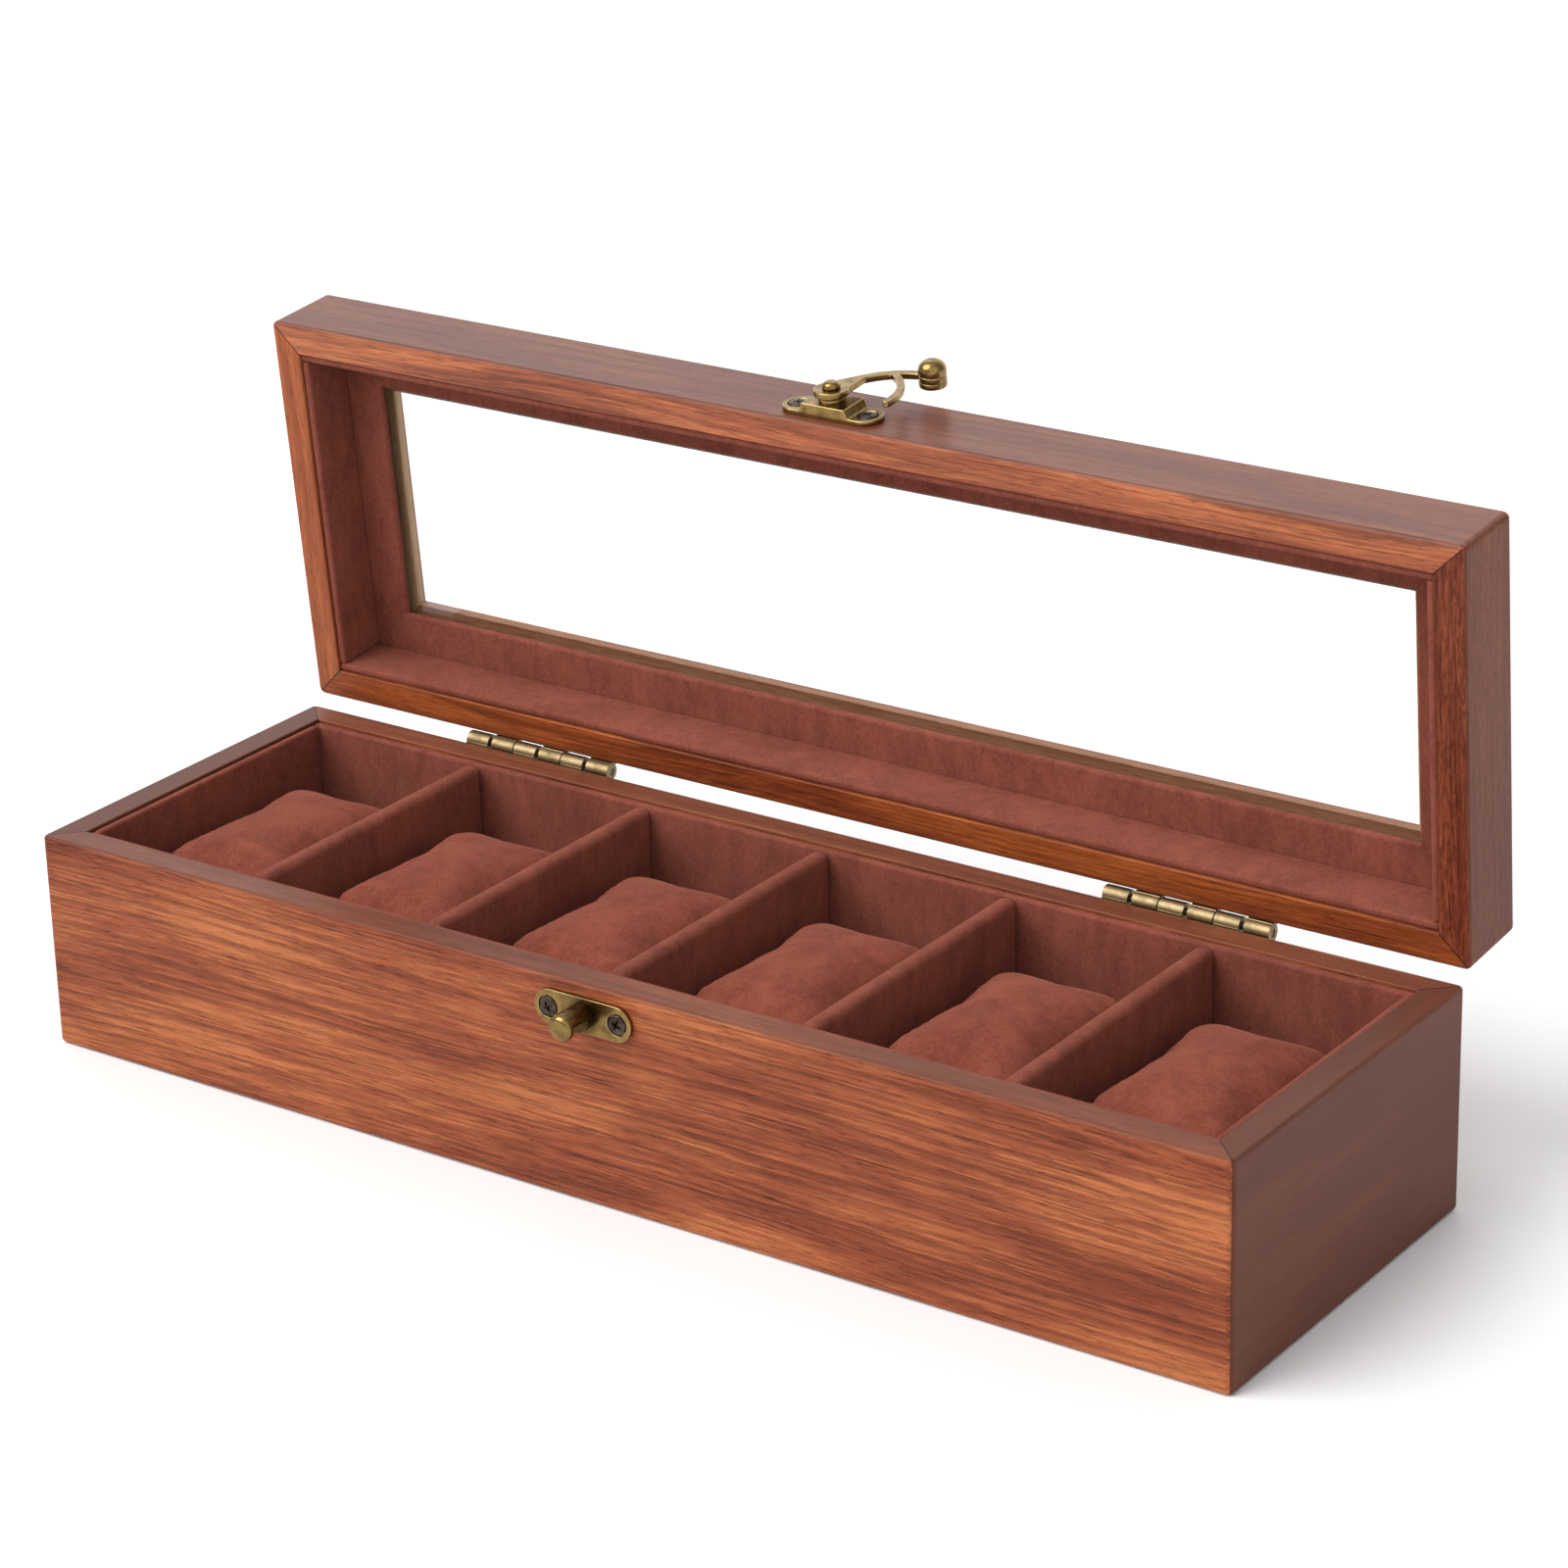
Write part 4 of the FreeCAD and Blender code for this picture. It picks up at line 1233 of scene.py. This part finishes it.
@dataclass
class VelvetLining:
    """Velvet-covered boards in the case and the lid."""

    edge: float = 0.0008
    divider_edge: float = 0.0019
    step: float = 0.004
    dividers: int = 5
    flange_round: float = 0.45

    def board(self, node: str, low: Vector, high: Vector, radius: float, host: Host, place: Matrix) -> None:
        """One covered board in place of its node.

        Args:
            node: Node that the board stands for.
            low: Lowest corner in the closed box.
            high: Highest corner in the closed box.
            radius: Radius of its edges.
            host: Body that it rides on.
            place: Matrix from the closed box to rest.
        """
        mesh = RoundedSolid(low, high, radius, self.step).mesh(node + "_cover")
        mesh.transform(place)
        self.adopt(new_object(node + "_cover", mesh), node, host)

    @staticmethod
    def adopt(obj: bpy.types.Object, node: str, host: Host) -> None:
        """Dress a velvet piece and let it stand for a node.

        Args:
            obj: Piece.
            node: Node that it stands for.
            host: Body that it rides on.
        """
        put_on(obj, PALETTE.velvet)
        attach(obj, host.value)
        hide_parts(node)
        LOG.info("velvet %s", node)

    def build_case(self) -> None:
        """Linings and dividers of the case."""
        radii = {"base_lining_" + side.value: self.edge for side in Side}
        radii["base_lining_floor"] = self.edge
        radii.update({"divider_%d" % number: self.divider_edge for number in range(1, self.dividers + 1)})
        for node, radius in radii.items():
            low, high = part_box(node)
            self.board(node, low, high, radius, Host.BASE, Matrix.Identity(4))

    def build_lid(self) -> None:
        """Side linings of the lid and the flange round the window."""
        opened = SIZES.opened()
        bottom = SIZES.lid_bottom + SIZES.lining_drop
        top = SIZES.frame_underside - SIZES.flange
        x_out, y_out = SIZES.length / 2 - SIZES.wall, SIZES.depth / 2 - SIZES.wall
        x_in, y_in = x_out - SIZES.lining, y_out - SIZES.lining
        spans = {
            Side.FRONT: ((-x_out, -y_out), (x_out, -y_in)),
            Side.BACK: ((-x_out, y_in), (x_out, y_out)),
            Side.LEFT: ((-x_out, -y_in), (-x_in, y_in)),
            Side.RIGHT: ((x_in, -y_in), (x_out, y_in)),
        }
        for side, (low, high) in spans.items():
            corners = Vector((*low, bottom)), Vector((*high, top))
            self.board("lid_lining_" + side.value, *corners, self.edge, Host.LID, opened)
        inner, radius = SIZES.flange_border, SIZES.flange * self.flange_round
        section = [(SIZES.wall, top), (SIZES.wall, top + SIZES.flange)]
        section += arc((inner - radius, top + SIZES.flange - radius), radius, 90.0, 0.0, 5)
        section += arc((inner - radius, top + radius), radius, 0.0, -90.0, 5)
        for side in Side:
            node = "lid_flange_" + side.value
            mesh = MitredStrip(side, section).mesh(node + "_cover", opened)
            self.adopt(new_object(node + "_cover", mesh), node, Host.LID)

    def build(self) -> None:
        """Make every lining."""
        self.build_case()
        self.build_lid()


@dataclass
class CushionRow:
    """Stuffed velvet cushions, one in each slot, sewn from a wrap and two end panels."""

    count: int = 6

    # Cover before it is stuffed.
    slack: Point = (0.0021, 0.0011, 0.0023)
    radius: float = 0.0085
    step: float = 0.0016
    turns: int = 6
    quick_crown: float = 0.002

    # Stuffing by cloth pressure.
    voxel: float = 0.0017
    pressure: float = 60.0
    reach: float = 0.0026
    frames: int = 20

    # Seams, puckers beside them, wrinkles and how the cushion sits.
    seam_inset: float = 0.0046
    seam_depth: float = 0.0007
    seam_width: float = 0.0009
    seam_lean: float = 0.35
    pucker_reach: float = 0.005
    pucker_turns: float = 46.0
    pucker_depth: float = 0.00013
    pucker_stray: float = 2.5
    pucker_noise: float = 90.0
    wrinkle_noise: float = 130.0
    wrinkle_depth: float = 0.0003
    settle: float = 1.05
    spill: Point = (0.0004, 0.0004, 0.0)

    def stuffed(self) -> bpy.types.Mesh:
        """One cushion about its own middle, swollen by a cloth simulation.

        Returns:
            The mesh.
        """
        low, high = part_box("pillow_1")
        half = (high - low) / 2
        slack = Vector(self.slack)
        crown = 0.0
        solid = RoundedSolid(slack - half, half - slack, self.radius, self.step, self.turns, crown)
        obj = new_object("cushion_work", solid.mesh("cushion_work"))
        self.swell(obj)
        mesh = obj.data
        bpy.data.objects.remove(obj)
        self.sew(mesh, half)
        return mesh

    def swell(self, obj: bpy.types.Object) -> None:
        """Blow the cover up with cloth pressure, hold the movement, and smooth it.

        Args:
            obj: Cushion at its slack size.
        """
        remesh = obj.modifiers.new("even", "REMESH")
        remesh.mode = "VOXEL"
        remesh.voxel_size = self.voxel
        baked(obj)
        start = [vertex.co.copy() for vertex in obj.data.vertices]
        cloth = obj.modifiers.new("cover", "CLOTH")
        cloth.settings.use_pressure = True
        cloth.settings.uniform_pressure_force = self.pressure
        cloth.settings.effector_weights.gravity = 0.0
        cloth.settings.quality = 5
        cloth.point_cache.frame_start = 1
        cloth.point_cache.frame_end = self.frames
        scene = bpy.context.scene
        for step in range(1, self.frames + 1):
            scene.frame_set(step)
        baked(obj)
        scene.frame_set(1)
        for vertex, old in zip(obj.data.vertices, start):
            move = vertex.co - old
            if move.length > self.reach:
                vertex.co = old + move.normalized() * self.reach
        relax = obj.modifiers.new("relax", "SMOOTH")
        relax.factor = 0.5
        relax.iterations = 8
        finer = obj.modifiers.new("finer", "SUBSURF")
        finer.levels = 1
        finer.render_levels = 1
        baked(obj)
        LOG.info("cover swollen to %s mm", [round(size / MM, 1) for size in obj.dimensions])

    def sew(self, mesh: bpy.types.Mesh, half: Vector) -> None:
        """Press the two end seams into the cover, pucker it beside them and settle it on its base.

        Args:
            mesh: Cushion mesh about its middle.
            half: Half sizes of the cushion's solid.
        """
        limit = half + Vector(self.spill)
        for vertex in mesh.vertices:
            place = vertex.co
            gap = abs(place.x) - (half.x - self.seam_inset)
            near = math.exp(-(gap / self.seam_width) ** 2)
            beside = math.exp(-abs(gap) / self.pucker_reach)
            phase = math.atan2(place.z, place.y) * self.pucker_turns
            stray = self.pucker_stray * noise.noise(place * self.pucker_noise)
            ripple = math.sin(phase + stray) * self.pucker_depth
            away = Vector((self.seam_lean * math.copysign(1.0, place.x), *Vector((place.y, place.z)).normalized()))
            sunk = place - away * (self.seam_depth * near + ripple * beside)
            sunk += sunk.normalized() * noise.noise(place * self.wrinkle_noise) * self.wrinkle_depth
            if sunk.z < 0.0:
                sunk.z *= self.settle
            vertex.co = Vector(min(max(sunk[k], -limit[k]), limit[k]) for k in range(3))
        mesh.shade_smooth()

    def build(self) -> None:
        """Make the row of cushions."""
        master = self.stuffed()
        for number in range(1, self.count + 1):
            node = "pillow_%d" % number
            low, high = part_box(node)
            mesh = master.copy()
            turned = Matrix.Rotation(math.pi * (number % 2), 4, "Z")
            mesh.transform(Matrix.Translation((low + high) / 2) @ turned)
            obj = new_object("cushion_%d" % number, mesh)
            put_on(obj, PALETTE.cushion)
            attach(obj, node + "_body")
            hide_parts(node)
            LOG.info("cushion %d", number)
        bpy.data.meshes.remove(master)


@dataclass
class ScrewSet:
    """Cross-recessed screws set at points by geometry nodes."""

    node: str
    host: Host
    points: List[Matrix]
    radius: float = 0.0023
    head: float = 0.0007
    dome: float = 0.00028
    dome_start: float = 0.97
    dome_rows: int = 7
    sides: int = 40
    rim: float = 0.00012
    shank: float = 0.0011
    shoulder: float = 0.0055
    length: float = 0.006
    recess: Point = (0.0029, 0.0007, 0.0011)
    recess_taper: float = 0.55
    recess_lift: float = 0.00012

    def turned(self) -> bpy.types.Mesh:
        """Screw without its recess: point, shank, flat underside and domed head.

        Returns:
            The mesh.
        """
        profile = [(0.0, -self.length), (self.shank, -self.shoulder), (self.shank, -self.head),
                   (self.radius, -self.head), (self.radius, -self.rim)]
        for row in range(self.dome_rows):
            angle = row / self.dome_rows * math.pi / 2
            profile.append((self.radius * self.dome_start * math.cos(angle), self.dome * math.sin(angle)))
        return lathe("screw_pattern", profile + [(0.0, self.dome)], self.sides)

    def cutter(self, turn: float) -> bpy.types.Object:
        """One slot of the cross recess, narrower at its bottom.

        Args:
            turn: Turn about the screw, in radians.

        Returns:
            Object to cut with.
        """
        shape = bmesh.new()
        bmesh.ops.create_cube(shape, size=1.0)
        for vertex in shape.verts:
            x, y, z = (share * size for share, size in zip(vertex.co, self.recess))
            narrow = 1.0 if z > 0 else self.recess_taper
            vertex.co = Vector((x * narrow, y * narrow, z + self.recess_lift))
        bmesh.ops.rotate(shape, verts=shape.verts, matrix=Matrix.Rotation(turn, 3, "Z"))
        return new_object("recess", new_mesh("recess", shape))

    def pattern(self) -> bpy.types.Object:
        """Single screw with its cross recess.

        Returns:
            Object to repeat.
        """
        body = new_object("screw_pattern", self.turned())
        cutters = [self.cutter(turn) for turn in (0.0, math.pi / 2)]
        for cutter in cutters:
            cut = body.modifiers.new("recess", "BOOLEAN")
            cut.operation = "DIFFERENCE"
            cut.solver = "EXACT"
            cut.object = cutter
        baked(body)
        smooth(body.data)
        for cutter in cutters:
            bpy.data.meshes.remove(cutter.data)
        return body

    def repeater(self) -> bpy.types.NodeTree:
        """Geometry node tree that sets the pattern at each point.

        Returns:
            The tree.
        """
        name = "set_screws"
        if name in bpy.data.node_groups:
            return bpy.data.node_groups[name]
        group = bpy.data.node_groups.new(name, "GeometryNodeTree")
        for label, way, kind in (("Geometry", "INPUT", "Geometry"), ("Pattern", "INPUT", "Object"),
                                 ("Finish", "INPUT", "Material"), ("Geometry", "OUTPUT", "Geometry")):
            group.interface.new_socket(name=label, in_out=way, socket_type="NodeSocket" + kind)
        nodes, links = group.nodes, group.links
        given = nodes.new("NodeGroupInput")
        result = nodes.new("NodeGroupOutput")
        pattern = nodes.new("GeometryNodeObjectInfo")
        facing = nodes.new("GeometryNodeInputNamedAttribute")
        facing.data_type = "FLOAT_VECTOR"
        facing.inputs["Name"].default_value = "facing"
        turn = nodes.new("FunctionNodeEulerToRotation")
        repeat = nodes.new("GeometryNodeInstanceOnPoints")
        real = nodes.new("GeometryNodeRealizeInstances")
        finish = nodes.new("GeometryNodeSetMaterial")
        links.new(given.outputs["Pattern"], pattern.inputs["Object"])
        links.new(given.outputs["Geometry"], repeat.inputs["Points"])
        links.new(pattern.outputs["Geometry"], repeat.inputs["Instance"])
        links.new(facing.outputs["Attribute"], turn.inputs[0])
        links.new(turn.outputs[0], repeat.inputs["Rotation"])
        links.new(repeat.outputs["Instances"], real.inputs["Geometry"])
        links.new(real.outputs["Geometry"], finish.inputs["Geometry"])
        links.new(given.outputs["Finish"], finish.inputs["Material"])
        links.new(finish.outputs["Geometry"], result.inputs["Geometry"])
        return group

    def build(self) -> None:
        """Make the set in place of its node."""
        pattern = self.pattern()
        mesh = bpy.data.meshes.new(self.node + "_heads")
        mesh.from_pydata([matrix.to_translation() for matrix in self.points], [], [])
        facing = mesh.attributes.new("facing", "FLOAT_VECTOR", "POINT")
        for item, matrix in zip(facing.data, self.points):
            item.vector = matrix.to_euler()
        obj = new_object(self.node + "_heads", mesh)
        group = self.repeater()
        modifier = obj.modifiers.new("set", "NODES")
        modifier.node_group = group
        sockets = {item.name: item.identifier for item in group.interface.items_tree if item.in_out == "INPUT"}
        modifier[sockets["Pattern"]] = pattern
        modifier[sockets["Finish"]] = PALETTE.screw.material()
        baked(obj)
        bpy.data.meshes.remove(pattern.data)
        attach(obj, self.host.value)
        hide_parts(self.node)
        LOG.info("screws %s: %d", self.node, len(self.points))


@dataclass
class Ironmongery:
    """Hinges, catch and swing hook."""

    edge: float = 0.00028
    turned_edge: float = 0.00012
    plate_turns: Range = (0.5, 1.2)
    leaf_turn: float = 9.0

    def screw_points(self) -> Dict[str, Tuple[Host, List[Matrix]]]:
        """Where the screws go.

        Returns:
            Host and places by node name; each place has the head's outward direction as its Z.
        """
        opened = SIZES.opened()
        still = Matrix.Identity(4)

        def placed(place: Matrix, spot: Point, out: float, turn: float) -> Matrix:
            """Screw at a spot of the closed box, tipped out of its face and turned about itself."""
            tipped = Matrix.Rotation(math.radians(out), 4, "X")
            return place @ Matrix.Translation(spot) @ tipped @ Matrix.Rotation(turn, 4, "Z")

        def plate(height: float, place: Matrix) -> List[Matrix]:
            """Two screws of a plate on the front."""
            halves = (-SIZES.screw_spacing / 2, SIZES.screw_spacing / 2)
            front = -SIZES.depth / 2 - SIZES.plate
            return [placed(place, (SIZES.hardware_x + x, front, height), 90.0, turn)
                    for x, turn in zip(halves, self.plate_turns)]

        def leaves(drop: float, place: Matrix) -> List[Matrix]:
            """Four screws of the two leaves on the back."""
            halves = (-SIZES.leaf_screws / 2, SIZES.leaf_screws / 2)
            spots = [centre + x for centre in (-SIZES.hinge_centre, SIZES.hinge_centre) for x in halves]
            back = SIZES.depth / 2 + SIZES.leaf
            return [placed(place, (x, back, SIZES.hinge_z + drop), -90.0, self.leaf_turn * x) for x in spots]

        return {
            "catch_screws": (Host.BASE, plate(SIZES.catch_z, still)),
            "hook_screws": (Host.LID, plate(SIZES.hook_z, opened)),
            "hinge_case_screws": (Host.BASE, leaves(-SIZES.leaf_screw_drop, still)),
            "hinge_lid_screws": (Host.LID, leaves(SIZES.leaf_screw_drop, opened)),
        }

    def build(self) -> None:
        """Dress the metal nodes and set the screws."""
        latch = {
            "catch_plate": (Host.BASE, self.edge), "catch_post": (Host.BASE, self.turned_edge),
            "hook_plate": (Host.LID, self.edge), "hook_rivet": (Host.LID, self.turned_edge),
            "hook_arm": (Host.HOOK, self.edge), "hook_knob": (Host.HOOK, self.turned_edge),
        }
        for node, (host, width) in latch.items():
            finish = PALETTE.catch if host is Host.BASE else PALETTE.brass
            EasedPart(node, host, "antique_brass", finish, width, 3).build()
        for hand in ("left", "right"):
            for leaf, host in (("case", Host.BASE), ("lid", Host.LID)):
                node = "hinge_%s_%s_leaf" % (hand, leaf)
                EasedPart(node, host, "antique_brass", PALETTE.barrel, self.turned_edge).build()
            put_on(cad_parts["hinge_%s_pin" % hand], PALETTE.pin)
        for node, (host, points) in self.screw_points().items():
            ScrewSet(node, host, points).build()


@dataclass(frozen=True)
class Lamp:
    """A light: a sun with its spread in degrees, or a square panel with its size in metres."""

    name: str
    kind: LampKind
    power: float
    spread: float
    place: Point

    AIM: ClassVar[Point] = (0.0, 0.0, 0.06)

    def build(self) -> None:
        """Hang the lamp, facing the box."""
        data = bpy.data.lights.new(self.name, self.kind.value)
        data.energy = self.power
        if self.kind is LampKind.SUN:
            data.angle = math.radians(self.spread)
        else:
            data.shape = "SQUARE"
            data.size = self.spread
        facing = (Vector(self.AIM) - Vector(self.place)).to_track_quat("-Z", "Y").to_matrix().to_4x4()
        new_object(self.name, data).matrix_world = Matrix.Translation(self.place) @ facing


@dataclass
class Studio:
    """Pale floor, soft lights and the camera."""

    azimuth: float = 35.4368
    elevation: float = 22.1362
    roll: float = -1.5406
    eye: Point = (0.581279, -0.791294, 0.481646)
    lens: float = 109.974
    sensor: float = 36.0
    low_sky: float = 0.4
    high_sky: float = 1.5
    floor_size: float = 6.0
    floor_drop: float = 0.0003
    floor_shade: Colour = (0.9, 0.9, 0.9, 1.0)
    floor_roughness: float = 0.9
    lamps: Tuple[Lamp, ...] = (
        Lamp("key", LampKind.SUN, 2.7, 50.0, (-0.75, -1.0, 1.35)),
        Lamp("fill", LampKind.SUN, 0.7, 70.0, (0.9, -0.9, 0.7)),
        Lamp("overhead", LampKind.PANEL, 3.0, 1.2, (-0.2, -0.2, 1.7)),
    )

    def camera(self) -> None:
        """Camera where the photograph was taken from."""
        turn, rise, tilt = (math.radians(value) for value in (self.azimuth, self.elevation, self.roll))
        back = Vector((math.sin(turn) * math.cos(rise), -math.cos(turn) * math.cos(rise), math.sin(rise)))
        across = Vector((0.0, 0.0, 1.0)).cross(back).normalized()
        upward = back.cross(across)
        right = across * math.cos(tilt) + upward * math.sin(tilt)
        top = upward * math.cos(tilt) - across * math.sin(tilt)
        data = bpy.data.cameras.new("camera")
        data.lens = self.lens
        data.sensor_width = self.sensor
        obj = new_object("camera", data)
        basis = Matrix((right, top, back)).transposed().to_4x4()
        obj.matrix_world = Matrix.Translation(self.eye) @ basis
        bpy.context.scene.camera = obj

    def floor(self) -> None:
        """Pale floor just under the box."""
        shape = bmesh.new()
        bmesh.ops.create_grid(shape, x_segments=8, y_segments=8, size=self.floor_size)
        bmesh.ops.translate(shape, verts=shape.verts, vec=(0.0, 0.0, -self.floor_drop))
        obj = new_object("floor", new_mesh("floor", shape))
        material = bpy.data.materials.new("pale_floor")
        material.use_nodes = True
        shader = material.node_tree.nodes["Principled BSDF"]
        shader.inputs["Base Color"].default_value = self.floor_shade
        shader.inputs["Roughness"].default_value = self.floor_roughness
        obj.data.materials.append(material)

    def sky(self) -> None:
        """White surroundings, brighter behind and to the left."""
        world = bpy.data.worlds.new("surround")
        world.use_nodes = True
        tree = Tree(world.node_tree)
        backdrop = world.node_tree.nodes["Background"]
        parts = tree.add("ShaderNodeSeparateXYZ", Vector=tree.add("ShaderNodeTexCoord").outputs["Generated"])
        behind = tree.math("SUBTRACT", parts.outputs[1], tree.math("MULTIPLY", parts.outputs[0], 0.5))
        tree.feed(backdrop, "Strength", tree.span(behind, 0.35, 0.95, self.low_sky, self.high_sky))
        backdrop.inputs["Color"].default_value = (1.0, 1.0, 1.0, 1.0)
        bpy.context.scene.world = world

    def build(self) -> None:
        """Set up the studio."""
        self.camera()
        self.floor()
        self.sky()
        for lamp in self.lamps:
            lamp.build()
        bpy.context.scene.view_settings.view_transform = "Standard"


def dress_glass() -> None:
    """Give the window its glass."""
    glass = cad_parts["lid_glass"]
    put_on(glass, PALETTE.glass)
    glass.visible_shadow = False


def main() -> None:
    """Build the scene."""
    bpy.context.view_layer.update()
    WoodWork().build()
    VelvetLining().build()
    CushionRow().build()
    Ironmongery().build()
    dress_glass()
    Studio().build()


if __name__ == "__main__":
    main()
